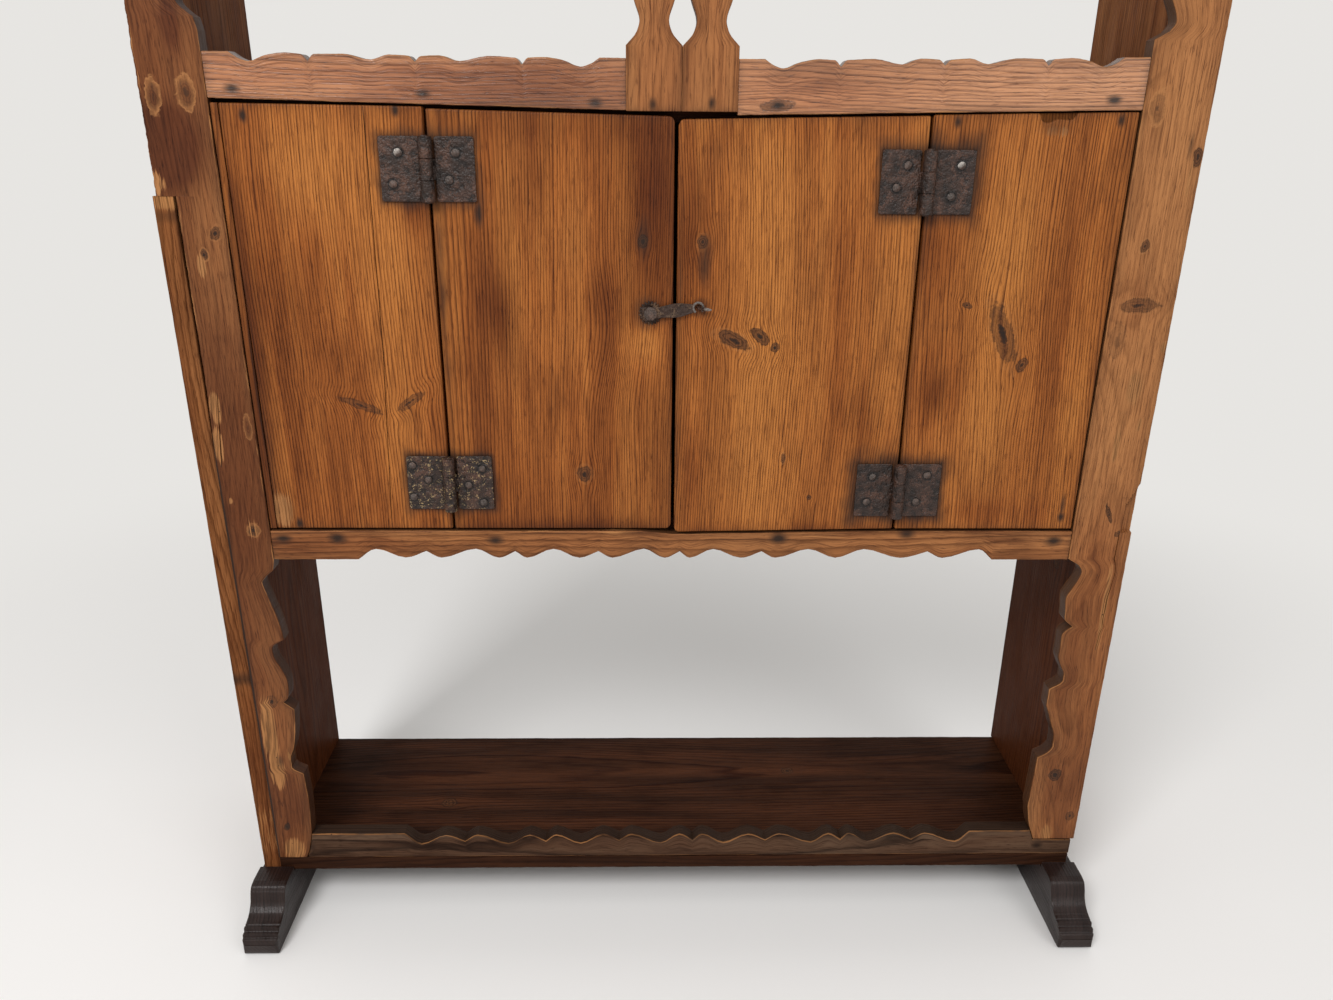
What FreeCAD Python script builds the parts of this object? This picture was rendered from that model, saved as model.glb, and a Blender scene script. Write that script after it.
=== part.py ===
import FreeCAD, Part
import math, os

os.makedirs("parts", exist_ok=True)

# A rustic pine storage cabinet for a kitchen wall, with two open bays and a small cupboard between them.
# X runs to the right, Y to the back and Z up, in millimetres.
# The origin is on the floor, under the middle of the case's width and halfway from the toes to the back.

# Case
case_width = 1200.0          # over the outer faces of the two sides
case_depth = 305.0           # from the face plane to the back
case_height = 1720.0         # from the floor to the top board's upper face
side_board = 24.0            # thickness of each side
front_board = 22.0           # thickness of the stiles, rails and balusters
shelf_board = 22.0
middle_board = 28.0          # thickness of the cupboard's floor and top
back_board = 14.0
back_board_count = 4
cut_overrun = 1.0            # how far a cutting tool passes the face that it opens
same_place = 0.05            # two places closer than this are one place
saw_stroke_count = 4         # the short straight cuts that a saw makes for each curve of a scallop

# Levels, from the floor up
foot_seat = 70.0             # the feet carry the bottom shelf at this height
toe_height = 77.0            # the toe's top, a little above the seat
lower_bay = 481.0            # clear height between the bottom shelf and the apron
apron_height = 42.0
apron_dip = 4.5              # wear on the apron's upper edge under the right door
apron_dip_run = 40.0         # how far the wear runs out under the left door
door_lift = 2.0              # gap between the apron and the fixed panels
floor_stop = 8.0             # how far the cupboard's floor rises behind the doors
cupboard_front = 516.0       # from the apron's top to the underside of a gallery rail at its stile
top_stop = 7.0               # how far the cupboard's top rises behind the gallery rails
rail_height = 49.0
rail_sag = 9.0               # the rails' undersides drop this much towards the balusters
rail_top_sag = 3.0
right_rail_drop = 4.0        # the right rail's underside lies this much lower than the left one's
right_rail_rise = 3.0        # and its upper edge rises this much more towards the stile
frieze_height = 70.0
top_board = 30.0

# Widths across the front
left_stile_width = 55.0      # this stile sits beside the left side's front edge
right_stile_width = 79.5     # this one covers the right side's front edge
baluster_seam = 2.5          # the two balusters meet this far right of the middle
baluster_width = 62.5
meeting_line = -3.0          # middle of the gap between the doors
meeting_gap = 4.0
hinge_seam = 285.0           # middle of the gap between a door and its fixed panel
hinge_gap = 3.0
filler_width = 8.0
panel_play = 1.2             # gap between a fixed panel and the board beside it
panel_setback = 2.0          # doors and panels lie this far behind the face plane
door_stop_gap = 0.3          # the closed doors stop this far before the boards behind them

# Edges of the doors and panels, as drops or rises from the level lines
left_door_drop = 8.0
left_door_lean = 6.0
right_door_drop = 11.0
right_door_lean = 6.0
right_door_sag = 5.0
left_panel_drop = 4.0
left_panel_lean = 2.0
right_panel_drop = 5.0
right_panel_lean = 5.0
meeting_corner_radius = 7.0
plank_edge_bevel = 1.4
chip_depth = 10.0            # the broken spot on the right panel's upper edge

# Scalloped edges
stile_scallop = 22.0
apron_scallop = 15.0
lip_height = 43.0
lip_scallop = 18.0
lip_step = 16.0              # the lip is lower where the right stile stands on it
lip_end_inset = 5.0
gallery_scallop = 10.0
frieze_scallop = 15.0
upper_run_gap = 20.0         # the stiles' upper scallops start this far above the gallery

# Feet
foot_width = 50.0
foot_proud = 7.0             # how far a foot stands out from the side above it
toe_reach = 94.0             # how far the toes come forward of the face plane
shelf_proud = 6.0            # how far the bottom shelf's ends stand out
shelf_end_radius = 8.0
side_horn = 24.0             # depth of the left side's front horn, in front of the shelf's end

# Top board
top_overhang = 18.0
top_nose_radius = 9.0
top_under_radius = 4.0

# The splinter missing from the right stile's outer edge, and the split below it
splinter_height = 73.0
splinter_width = 16.0
splinter_depth = 7.0
splinter_below_floor = 12.0
split_length = 175.0
split_width = 1.2
split_lean = 6.0

# Hinges
leaf_reach = 54.0
leaf_height = 71.0
leaf_thickness = 3.0
leaf_corner = 3.0
knuckle_radius = 8.0
knuckle_lift = 0.3           # clear space between a knuckle and the wood
knuckle_play = 0.4           # gap between two knuckles
knuckle_room = 0.8           # gap between a knuckle and the other leaf's edge
pin_radius = 3.2
pin_fit = 0.05
pin_head_radius = 5.0
pin_head_height = 1.4
knuckle_count = 3
upper_left_hinge = 1023.0    # heights of the leaves' lower edges
upper_right_hinge = 1013.0
lower_left_hinge = 645.0
lower_right_hinge = 636.0

# Nails
nail_shank_half = 1.2
nail_shank_length = 17.0
nail_head_radius = 4.2
nail_head_height = 1.8
nail_fit = 0.05
head_facets = 8              # the flats that a smith's hammer leaves around a head
knuckle_facets = 16          # and around a rolled knuckle
head_shoulder_share = 0.55   # the head's profile: how high its shoulder lies,
head_waist_share = 0.78      # how wide it is there,
head_tip_share = 0.34        # and how wide its flat top is

# Latch
latch_x = -32.0
latch_z = 897.0
rosette_radius = 14.5
rosette_root_radius = 12.0
rosette_thickness = 2.2
rosette_teeth = 20
latch_play = 0.3
strap_thickness = 3.0
strap_head_radius = 9.5
strap_neck = 13.0
strap_belly = 17.0
strap_tip = 11.0
strap_neck_share = 0.26      # where the neck's straight part ends, along the strap
strap_belly_share = 0.55     # where the strap is widest
strap_tip_share = 0.92       # where it meets the eye
catch_x = 25.0
catch_z = 904.0
eye_radius = 8.0
eye_bore = 4.2
catch_radius = 2.2
catch_slot_play = 0.7
catch_bend_radius = 3.0
catch_tail = 13.0
catch_lift = 0.5             # gap between the strap and the bent end in front of it
pivot_radius = 2.5
pivot_fit = 0.05
pivot_head_radius = 8.6
pivot_head_height = 3.6
catch_depth = 15.0           # how far the latch's nails go into the doors

# Levels and planes that follow from the sizes above
half_width = case_width / 2
face_y = -(case_depth - toe_reach) / 2
back_y = face_y + case_depth
frame_back_y = face_y + front_board
plank_y = face_y + panel_setback
panel_thickness = front_board - panel_setback
door_thickness = panel_thickness - door_stop_gap
back_boards_y = back_y - back_board
left_inner = half_width - side_board
shelf_top = foot_seat + shelf_board
apron_bottom = shelf_top + lower_bay
apron_top = apron_bottom + apron_height
panel_bottom = apron_top + door_lift
cupboard_floor_top = panel_bottom + floor_stop
rail_bottom = apron_top + cupboard_front
rail_top = rail_bottom + rail_height
cupboard_top_level = rail_bottom + top_stop
case_top = case_height - top_board
frieze_bottom = case_top - frieze_height
left_stile_inner = -(left_inner - left_stile_width)
right_stile_inner = half_width - right_stile_width
baluster_left = baluster_seam - baluster_width
baluster_right = baluster_seam + baluster_width
lip_top = shelf_top + lip_height
hinge_axis_y = plank_y - knuckle_radius - knuckle_lift
strap_back_y = plank_y - rosette_thickness - latch_play
strap_face_y = strap_back_y - strap_thickness
catch_reach = math.hypot(catch_x - latch_x, catch_z - latch_z)
catch_angle = math.degrees(math.atan2(catch_z - latch_z, catch_x - latch_x))

# Scallops, each stretch a smooth curve between two crisp corners.
# A point is its share of the run's length and its share of the scallop's depth.
left_stile_shares = (
    ((0.0, 0.0), (0.031, 0.14)),
    ((0.031, 0.14), (0.056, 0.73), (0.069, 0.89), (0.110, 0.68), (0.197, 0.23), (0.245, 0.09)),
    ((0.245, 0.09), (0.264, 0.78), (0.277, 0.91), (0.301, 0.86), (0.341, 0.50), (0.385, 0.23), (0.430, 0.34),
     (0.449, 0.68)),
    ((0.449, 0.68), (0.472, 0.09)),
    ((0.472, 0.09), (0.530, 0.18), (0.601, 0.45), (0.642, 0.76), (0.672, 0.77), (0.694, 0.09)),
    ((0.694, 0.09), (0.777, 0.0)),
    ((0.777, 0.0), (0.892, 0.09), (0.971, 0.41), (1.0, 0.68)),
)
right_stile_shares = (
    ((0.0, 0.0), (0.020, 0.70)),
    ((0.020, 0.70), (0.041, 0.95), (0.067, 0.82), (0.096, 0.55), (0.128, 0.27), (0.167, 0.36), (0.196, 0.41),
     (0.222, 0.95)),
    ((0.222, 0.95), (0.235, 0.59), (0.250, 0.41), (0.320, 0.41), (0.359, 0.68), (0.385, 0.95), (0.409, 0.95),
     (0.437, 0.18)),
    ((0.437, 0.18), (0.496, 0.18)),
    ((0.496, 0.18), (0.561, 0.68), (0.613, 1.0), (0.643, 1.0), (0.667, 0.73), (0.685, 0.14)),
    ((0.685, 0.14), (0.874, 0.05)),
    ((0.874, 0.05), (0.930, 0.27), (1.0, 0.77)),
)
half_gallery_shares = (
    ((0.0, 0.0), (0.062, 0.0)),
    ((0.062, 0.0), (0.085, 0.65), (0.108, 0.95), (0.150, 0.30), (0.192, 0.05), (0.232, 0.15), (0.247, 0.85)),
    ((0.247, 0.85), (0.262, 0.15), (0.330, 0.05), (0.395, 0.60), (0.440, 0.05), (0.485, 0.15), (0.5, 0.75)),
)
half_baluster_shares = (
    ((0.0, 0.0), (0.118, 0.0)),
    ((0.118, 0.0), (0.142, 0.38), (0.162, 0.48), (0.197, 0.29), (0.262, 0.01), (0.345, 0.22), (0.420, 0.58),
     (0.462, 0.66)),
    ((0.462, 0.66), (0.474, 0.40)),
    ((0.474, 0.40), (0.487, 0.30), (0.5, 0.27)),
)
toe_shares = (
    ((0.0, 1.0), (0.30, 1.0)),
    ((0.30, 1.0), (0.40, 0.97), (0.46, 0.86), (0.50, 0.72), (0.60, 0.58), (0.74, 0.51), (0.84, 0.49)),
    ((0.84, 0.49), (0.85, 0.44)),
    ((0.85, 0.44), (0.91, 0.42)),
    ((0.91, 0.42), (0.92, 0.37)),
    ((0.92, 0.37), (0.97, 0.35), (1.0, 0.27)),
    ((1.0, 0.27), (0.985, 0.05)),
    ((0.985, 0.05), (0.97, 0.01), (0.95, 0.0)),
)
chip_shares = (
    ((0.30, 0.0), (0.33, 0.75), (0.39, 0.60), (0.44, 1.0), (0.47, 0.85), (0.485, 0.0)),
)

# One template marks out the apron and, turned over, the lip. Each group of crests lies between two notches.
apron_crest_shares = ((0.128,), (0.252,), (0.349,), (0.462,), (0.549,), (0.669, 0.739), (0.885,))
apron_notch_shares = (0.190, 0.301, 0.405, 0.507, 0.610, 0.820)
apron_end_shares = (0.105, 0.903)
lip_crest_shares = ((0.149,), (0.271,), (0.373,), (0.486,), (0.575,), (0.699,), (0.780,), (0.905,))
lip_notch_shares = (0.210, 0.324, 0.427, 0.531, 0.634, 0.741, 0.842)
lip_end_shares = (0.126, 0.924)
template_notch_share = 0.78
template_bump_share = 0.16
template_near_share = 0.30
template_far_share = 0.58

# Hinge nails: share of the leaf's reach from the pin, and share of its height
upper_left_fixed_shares = ((0.59, 0.75), (0.74, 0.27))
upper_left_door_shares = ((0.61, 0.75), (0.44, 0.34))
upper_right_fixed_shares = ((0.70, 0.76), (0.54, 0.28))
upper_right_door_shares = ((0.44, 0.76), (0.65, 0.41))
lower_left_fixed_shares = ((0.85, 0.83), (0.50, 0.56), (0.87, 0.24))
lower_left_door_shares = ((0.76, 0.77), (0.43, 0.46), (0.76, 0.13))
lower_right_fixed_shares = ((0.67, 0.79), (0.46, 0.28))
lower_right_door_shares = ((0.72, 0.28), (0.62, 0.76))


def face_point(x, z, y=face_y):
    return FreeCAD.Vector(x, y, z)


def door_point(x, z):
    return FreeCAD.Vector(x, plank_y, z)


def block(x_low, x_high, y_low, y_high, z_low, z_high):
    corner = FreeCAD.Vector(x_low, y_low, z_low)
    return Part.makeBox(x_high - x_low, y_high - y_low, z_high - z_low, corner)


def rod(radius, start, end):
    return Part.makeCylinder(radius, (end - start).Length, start, end - start)


def mirrored_shares(half):
    """Add the mirror image of a half run, about its far end."""
    second = [[(1 - along, depth) for along, depth in reversed(stretch)] for stretch in reversed(half)]
    return list(half) + second


def template_shares(crest_groups, notches, ends):
    """Smooth stretches from notch to notch, each rising over its crests between two small bumps."""
    stops = (ends[0],) + notches + (ends[1],)
    stretches = []
    for index, crests in enumerate(crest_groups):
        start = stops[index]
        end = stops[index + 1]
        points = []
        if index > 0:
            near = start + (crests[0] - start) * template_near_share
            points += [(start, template_notch_share), (near, template_bump_share)]
        else:
            points += [(start, 0.0)]
        for left, right in zip(crests, crests[1:]):
            points += [(left, 1.0), ((left + right) / 2, template_bump_share)]
        points += [(crests[-1], 1.0)]
        if index < len(crest_groups) - 1:
            far = crests[-1] + (end - crests[-1]) * template_far_share
            points += [(far, template_bump_share), (end, template_notch_share)]
        else:
            points += [(end, 0.0)]
        stretches.append(points)
    return stretches


def smooth_poles(stretch):
    """Poles of the cubic curves through a stretch of more than two points.

    The slope is level where the depth turns back, and elsewhere the harmonic mean of the slopes of the
    chords on both sides, so the curve never swings past its points.
    """
    chords = []
    for (along, depth), (next_along, next_depth) in zip(stretch, stretch[1:]):
        chords.append((next_depth - depth) / (next_along - along))
    slopes = chords[:1]
    for before, after in zip(chords, chords[1:]):
        slopes.append(2 * before * after / (before + after) if before * after > 0 else 0)
    slopes.append(chords[-1])
    poles = [stretch[0]]
    for index, (low, high) in enumerate(zip(stretch, stretch[1:])):
        third = (high[0] - low[0]) / 3
        poles.append((low[0] + third, low[1] + third * slopes[index]))
        poles.append((high[0] - third, high[1] - third * slopes[index + 1]))
        poles.append(high)
    return poles


def run(start, end, inward, shares):
    """Turn a table of shares into straight pieces and poles of smooth curves between start and end."""
    length = end - start
    stretches = []
    for stretch in shares:
        poles = smooth_poles(stretch) if len(stretch) > 2 else stretch
        stretches.append([start + length * along + inward * depth for along, depth in poles])
    return stretches


def reversed_run(stretches):
    return [list(reversed(stretch)) for stretch in reversed(stretches)]


def corners(*points):
    return [[point] for point in points]


def flat_face(points):
    return Part.Face(Part.makePolygon(points + points[:1]))


def curve_points(poles):
    """Points along cubic curves laid end to end, each with four poles and sharing its last with the next."""
    points = [poles[0]]
    for index in range(0, len(poles) - 1, 3):
        curve = Part.BezierCurve()
        curve.setPoles(poles[index:index + 4])
        points += curve.discretize(Number=saw_stroke_count + 1)[1:]
    return points


def outline_face(stretches):
    """A flat face from stretches laid end to end; a straight line closes every space between two of them."""
    points = []
    for stretch in stretches:
        for point in curve_points(stretch) if len(stretch) > 2 else stretch:
            if not points or not point.isEqual(points[-1], same_place):
                points.append(point)
    if points[0].isEqual(points[-1], same_place):
        points.pop()
    return flat_face(points)


def sawn_board(stretches, thickness=front_board):
    return outline_face(stretches).extrude(FreeCAD.Vector(0, thickness, 0))


def edges_where(shape, test):
    return [edge for edge in shape.Edges if test(edge)]


def stile(outer_x, inner_x, bottom, shares, first_drop):
    """A front upright with its inner edge scalloped in both open bays."""
    inward = FreeCAD.Vector(math.copysign(stile_scallop, outer_x), 0, 0)
    lower = run(face_point(inner_x, apron_bottom + first_drop), face_point(inner_x, bottom), inward, shares)
    upper_start = face_point(inner_x, rail_top + upper_run_gap)
    upper = run(upper_start, face_point(inner_x, frieze_bottom), inward, shares)
    outline = corners(face_point(outer_x, bottom), face_point(outer_x, case_top), face_point(inner_x, case_top))
    outline += corners(face_point(inner_x, frieze_bottom))
    outline += reversed_run(upper) + lower
    return sawn_board(outline)


def left_stile():
    return stile(-left_inner, left_stile_inner, shelf_top, left_stile_shares, 0)


def right_stile():
    board = stile(half_width, right_stile_inner, lip_top - lip_step, right_stile_shares, door_lift)
    return board.cut(splinter()).cut(split())


def splinter():
    """The broken-out wedge on the outer edge, square below and running out to nothing above."""
    low = cupboard_floor_top - splinter_below_floor
    high = low + splinter_height
    outside = half_width + cut_overrun
    middle = (low + high) / 2
    wedge = corners(
        face_point(outside, low, face_y - cut_overrun),
        face_point(outside, high, face_y - cut_overrun),
        face_point(half_width, high, face_y - cut_overrun),
        face_point(half_width - splinter_width, middle, face_y - cut_overrun),
        face_point(half_width - splinter_width, low, face_y - cut_overrun),
    )
    return sawn_board(wedge, splinter_depth + cut_overrun)


def split():
    """The thin crack that runs down from the splinter and closes at its lower end."""
    high = cupboard_floor_top - splinter_below_floor
    low = high - split_length
    left = half_width - splinter_width
    crack = corners(
        face_point(left, high, face_y - cut_overrun),
        face_point(left + split_width, high, face_y - cut_overrun),
        face_point(left + split_width - split_lean / 2, (low + high) / 2, face_y - cut_overrun),
        face_point(left - split_lean, low, face_y - cut_overrun),
        face_point(left - split_lean / 2, (low + high) / 2, face_y - cut_overrun),
    )
    return sawn_board(crack, splinter_depth + cut_overrun)


def left_side_board():
    """The left side stands on the shelf, and a horn at its front edge reaches down to the foot."""
    board = block(-half_width, -left_inner, face_y, back_y, shelf_top, case_top)
    horn = block(-half_width, -left_inner, face_y, face_y + side_horn, foot_seat, shelf_top)
    return board.fuse(horn).removeSplitter()


def right_side_board():
    return block(left_inner, half_width, frame_back_y, back_y, shelf_top, case_top)


def bottom_shelf():
    """The shelf runs out over both feet, with rounded ends."""
    end_x = half_width + shelf_proud
    board = block(-end_x, end_x, face_y, back_y, foot_seat, shelf_top)

    def at_end(edge):
        return abs(abs(edge.CenterOfMass.x) - end_x) < same_place and edge.Length > case_depth / 2

    board = board.makeFillet(shelf_end_radius, edges_where(board, at_end))
    outside = end_x + cut_overrun
    notch = block(-outside, -left_inner, face_y - cut_overrun, face_y + side_horn, foot_seat - cut_overrun,
                  shelf_top + cut_overrun)
    return board.cut(notch)


def shelf_lip(uprights):
    """The scalloped strip on the shelf's front edge, scribed to both stiles."""
    start = face_point(left_stile_inner, lip_top)
    end = face_point(right_stile_inner, lip_top)
    down = FreeCAD.Vector(0, 0, -lip_scallop)
    crests = run(start, end, down, template_shares(lip_crest_shares, lip_notch_shares, lip_end_shares))
    foot_x = half_width - lip_end_inset
    outline = corners(face_point(-left_inner, shelf_top), face_point(-left_inner, lip_top), start)
    outline += crests
    outline += corners(end, face_point(left_inner, lip_top), face_point(left_inner, lip_top - lip_step))
    outline += corners(face_point(foot_x, lip_top - lip_step), face_point(foot_x, shelf_top))
    strip = sawn_board(outline)
    for upright in uprights:
        strip = strip.cut(upright)
    return strip.Solids[0]


def apron():
    start = face_point(left_stile_inner, apron_bottom)
    end = face_point(right_stile_inner, apron_bottom)
    up = FreeCAD.Vector(0, 0, apron_scallop)
    crests = run(start, end, up, template_shares(apron_crest_shares, apron_notch_shares, apron_end_shares))
    top = corners(
        face_point(right_stile_inner, apron_top),
        face_point(hinge_seam, apron_top),
        face_point(meeting_line, apron_top - apron_dip),
        face_point(meeting_line - apron_dip_run, apron_top),
        face_point(left_stile_inner, apron_top),
    )
    return sawn_board(corners(start) + crests + corners(end) + top)


def gallery_rail(stile_x, baluster_x, drop, rise):
    """The low rail on the cupboard's top, sagging towards the balusters."""
    start = face_point(stile_x, rail_top + rise)
    end = face_point(baluster_x, rail_top - rail_top_sag)
    down = FreeCAD.Vector(0, 0, -gallery_scallop)
    crests = run(start, end, down, mirrored_shares(half_gallery_shares))
    low = rail_bottom - drop
    bottom = corners(face_point(baluster_x, low - rail_sag), face_point(stile_x, low))
    return sawn_board(crests + bottom)


def frieze(stile_x, baluster_x):
    """The scalloped board under the top, the gallery's pattern turned over."""
    start = face_point(stile_x, frieze_bottom)
    end = face_point(baluster_x, frieze_bottom)
    up = FreeCAD.Vector(0, 0, frieze_scallop)
    crests = run(start, end, up, mirrored_shares(half_gallery_shares))
    return sawn_board(crests + corners(face_point(baluster_x, case_top), face_point(stile_x, case_top)))


def baluster(low_x):
    """A flat sawn baluster with the same curve on both edges."""
    high_x = low_x + baluster_width
    low = rail_bottom - rail_sag
    inward = FreeCAD.Vector(baluster_width / 2, 0, 0)
    shares = mirrored_shares(half_baluster_shares)
    left = run(face_point(low_x, low), face_point(low_x, case_top), inward, shares)
    right = run(face_point(high_x, low), face_point(high_x, case_top), inward * -1, shares)
    return sawn_board(left + reversed_run(right))


def top_cap():
    """The top board, with a rounded nose along its front and ends."""
    end_x = half_width + top_overhang
    front = face_y - top_overhang
    board = block(-end_x, end_x, front, back_y, case_top, case_height)

    def outer(edge, level):
        middle = edge.CenterOfMass
        exposed = abs(middle.y - front) < same_place or abs(abs(middle.x) - end_x) < same_place
        return exposed and abs(middle.z - level) < same_place

    board = board.makeFillet(top_nose_radius, edges_where(board, lambda edge: outer(edge, case_height)))
    return board.makeFillet(top_under_radius, edges_where(board, lambda edge: outer(edge, case_top)))


def cupboard_back(index, count):
    """One upright board of the cupboard's back."""
    width = left_inner * 2 / count
    low_x = -left_inner + width * index
    low = cupboard_floor_top - middle_board
    return block(low_x, low_x + width, back_boards_y, back_y, low, cupboard_top_level)


def bevelled(board):
    """The board with the arris of its front face planed off all round."""

    def in_front(edge):
        return abs(edge.CenterOfMass.y - plank_y) < same_place

    return board.makeChamfer(plank_edge_bevel, edges_where(board, in_front))


def door_blank(stretches, meeting_x):
    """A door with its two meeting corners rounded."""
    board = sawn_board(stretches, door_thickness)

    def at_meeting_corner(edge):
        across = abs(edge.CenterOfMass.x - meeting_x) < same_place
        return across and abs(edge.Length - door_thickness) < same_place

    return bevelled(board.makeFillet(meeting_corner_radius, edges_where(board, at_meeting_corner)))


def left_door():
    hinge_x = -hinge_seam + hinge_gap / 2
    meeting_x = meeting_line - meeting_gap / 2
    high = rail_bottom - left_door_drop
    outline = corners(
        door_point(hinge_x, panel_bottom),
        door_point(meeting_x, panel_bottom),
        door_point(meeting_x, high - left_door_lean),
        door_point(hinge_x, high),
    )
    holes = bores(-hinge_seam, upper_left_hinge, upper_left_door_shares)
    holes += bores(-hinge_seam, lower_left_hinge, lower_left_door_shares)
    holes.append(latch_bore(latch_x, latch_z, pivot_radius))
    return door_blank(outline, meeting_x).cut(holes)


def right_door():
    hinge_x = hinge_seam - hinge_gap / 2
    meeting_x = meeting_line + meeting_gap / 2
    high = rail_bottom - right_door_drop
    outline = corners(
        door_point(meeting_x, panel_bottom - right_door_sag),
        door_point(hinge_x, panel_bottom),
        door_point(hinge_x, high),
        door_point(meeting_x, high - right_door_lean),
    )
    holes = bores(hinge_seam, upper_right_hinge, upper_right_door_shares, -1)
    holes += bores(hinge_seam, lower_right_hinge, lower_right_door_shares, -1)
    holes.append(latch_bore(catch_x, catch_z, catch_radius))
    return door_blank(outline, meeting_x).cut(holes)


def latch_bore(x, z, radius):
    """A blind hole in a door for one of the latch's nails."""
    start = face_point(x, z, plank_y - cut_overrun)
    return rod(radius + pivot_fit, start, face_point(x, z, plank_y + catch_depth + latch_play))


def left_fixed_panel():
    outer_x = left_stile_inner + panel_play + filler_width
    inner_x = -hinge_seam - hinge_gap / 2
    high = rail_bottom - left_panel_drop
    outline = corners(
        door_point(outer_x, panel_bottom),
        door_point(inner_x, panel_bottom),
        door_point(inner_x, high - left_panel_lean),
        door_point(outer_x, high),
    )
    holes = bores(-hinge_seam, upper_left_hinge, upper_left_fixed_shares, -1)
    holes += bores(-hinge_seam, lower_left_hinge, lower_left_fixed_shares, -1)
    return bevelled(sawn_board(outline, panel_thickness)).cut(holes)


def right_fixed_panel():
    """The right panel, with the broken spot on its upper edge."""
    outer_x = right_stile_inner - panel_play
    inner_x = hinge_seam + hinge_gap / 2
    high = rail_bottom - right_panel_drop
    start = door_point(outer_x, high)
    end = door_point(inner_x, high - right_panel_lean)
    outline = corners(door_point(inner_x, panel_bottom), door_point(outer_x, panel_bottom), start)
    outline += run(start, end, FreeCAD.Vector(0, 0, -chip_depth), chip_shares)
    outline += corners(end)
    holes = bores(hinge_seam, upper_right_hinge, upper_right_fixed_shares)
    holes += bores(hinge_seam, lower_right_hinge, lower_right_fixed_shares)
    return sawn_board(outline, panel_thickness).cut(holes)


def filler_strip():
    low_x = left_stile_inner + panel_play / 2
    high_x = low_x + filler_width
    high = rail_bottom - left_panel_drop
    return block(low_x, high_x, plank_y, frame_back_y, panel_bottom, high)


def foot(side):
    """A sledge foot with an ogee toe, seated under the shelf."""
    outer_x = half_width + foot_proud
    toe_start = FreeCAD.Vector(outer_x, face_y, 0)
    toe_end = FreeCAD.Vector(outer_x, face_y - toe_reach, 0)
    toe = run(toe_start, toe_end, FreeCAD.Vector(0, 0, toe_height), toe_shares)
    outline = corners(FreeCAD.Vector(outer_x, back_y, 0), FreeCAD.Vector(outer_x, back_y, foot_seat))
    outline += corners(FreeCAD.Vector(outer_x, face_y, foot_seat))
    shape = outline_face(outline + toe).extrude(FreeCAD.Vector(-foot_width, 0, 0))
    if side < 0:
        shape = shape.mirror(FreeCAD.Vector(0, 0, 0), FreeCAD.Vector(1, 0, 0))
    return shape


def ring_points(center, across, up, radius, facets=head_facets):
    """The corners of a regular ring around the center, in the plane of two directions."""
    points = []
    for index in range(facets):
        angle = 2 * math.pi * index / facets
        points.append(center + across * (radius * math.cos(angle)) + up * (radius * math.sin(angle)))
    return points


def faceted_solid(rings):
    """A closed solid of flat faces through rings of corners, one ring after the other."""
    faces = [flat_face(rings[0]), flat_face(rings[-1])]
    facets = len(rings[0])
    for lower, upper in zip(rings, rings[1:]):
        for index in range(facets):
            after = (index + 1) % facets
            faces.append(flat_face([lower[index], lower[after], upper[after], upper[index]]))
    return Part.Solid(Part.Shell(faces))


def nail_head(x, z, seat_y, radius, height):
    """A low faceted dome in front of the seat."""
    across = FreeCAD.Vector(1, 0, 0)
    up = FreeCAD.Vector(0, 0, 1)
    shoulder_y = seat_y - height * head_shoulder_share
    return faceted_solid([
        ring_points(face_point(x, z, seat_y), across, up, radius),
        ring_points(face_point(x, z, shoulder_y), across, up, radius * head_waist_share),
        ring_points(face_point(x, z, seat_y - height), across, up, radius * head_tip_share),
    ])


def square_shank(x, z, start_y, end_y, half):
    return block(x - half, x + half, start_y, end_y, z - half, z + half)


def nail(x, z, seat_y):
    shank = square_shank(x, z, seat_y, seat_y + nail_shank_length, nail_shank_half)
    return nail_head(x, z, seat_y, nail_head_radius, nail_head_height).fuse(shank)


def nail_places(axis_x, low, shares, side):
    return [(axis_x + side * leaf_reach * across, low + leaf_height * up) for across, up in shares]


def bores(axis_x, low, shares, side=1):
    """Square blind holes for a leaf's nails, drawn through the leaf and on into the wood."""
    start_y = plank_y - leaf_thickness - cut_overrun
    end_y = plank_y - leaf_thickness + nail_shank_length + latch_play
    holes = []
    for x, z in nail_places(axis_x, low, shares, side):
        holes.append(square_shank(x, z, start_y, end_y, nail_shank_half + nail_fit))
    return holes


def leaf_nails(axis_x, low, shares, side=1):
    seat = plank_y - leaf_thickness
    return [nail(x, z, seat) for x, z in nail_places(axis_x, low, shares, side)]


def knuckle_span(index):
    """The lower and upper end of one knuckle, above the leaf's lower edge."""
    pitch = leaf_height / knuckle_count
    low = pitch * index
    high = pitch * (index + 1)
    if index > 0:
        low += knuckle_play / 2
    if index < knuckle_count - 1:
        high -= knuckle_play / 2
    return low, high


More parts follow.
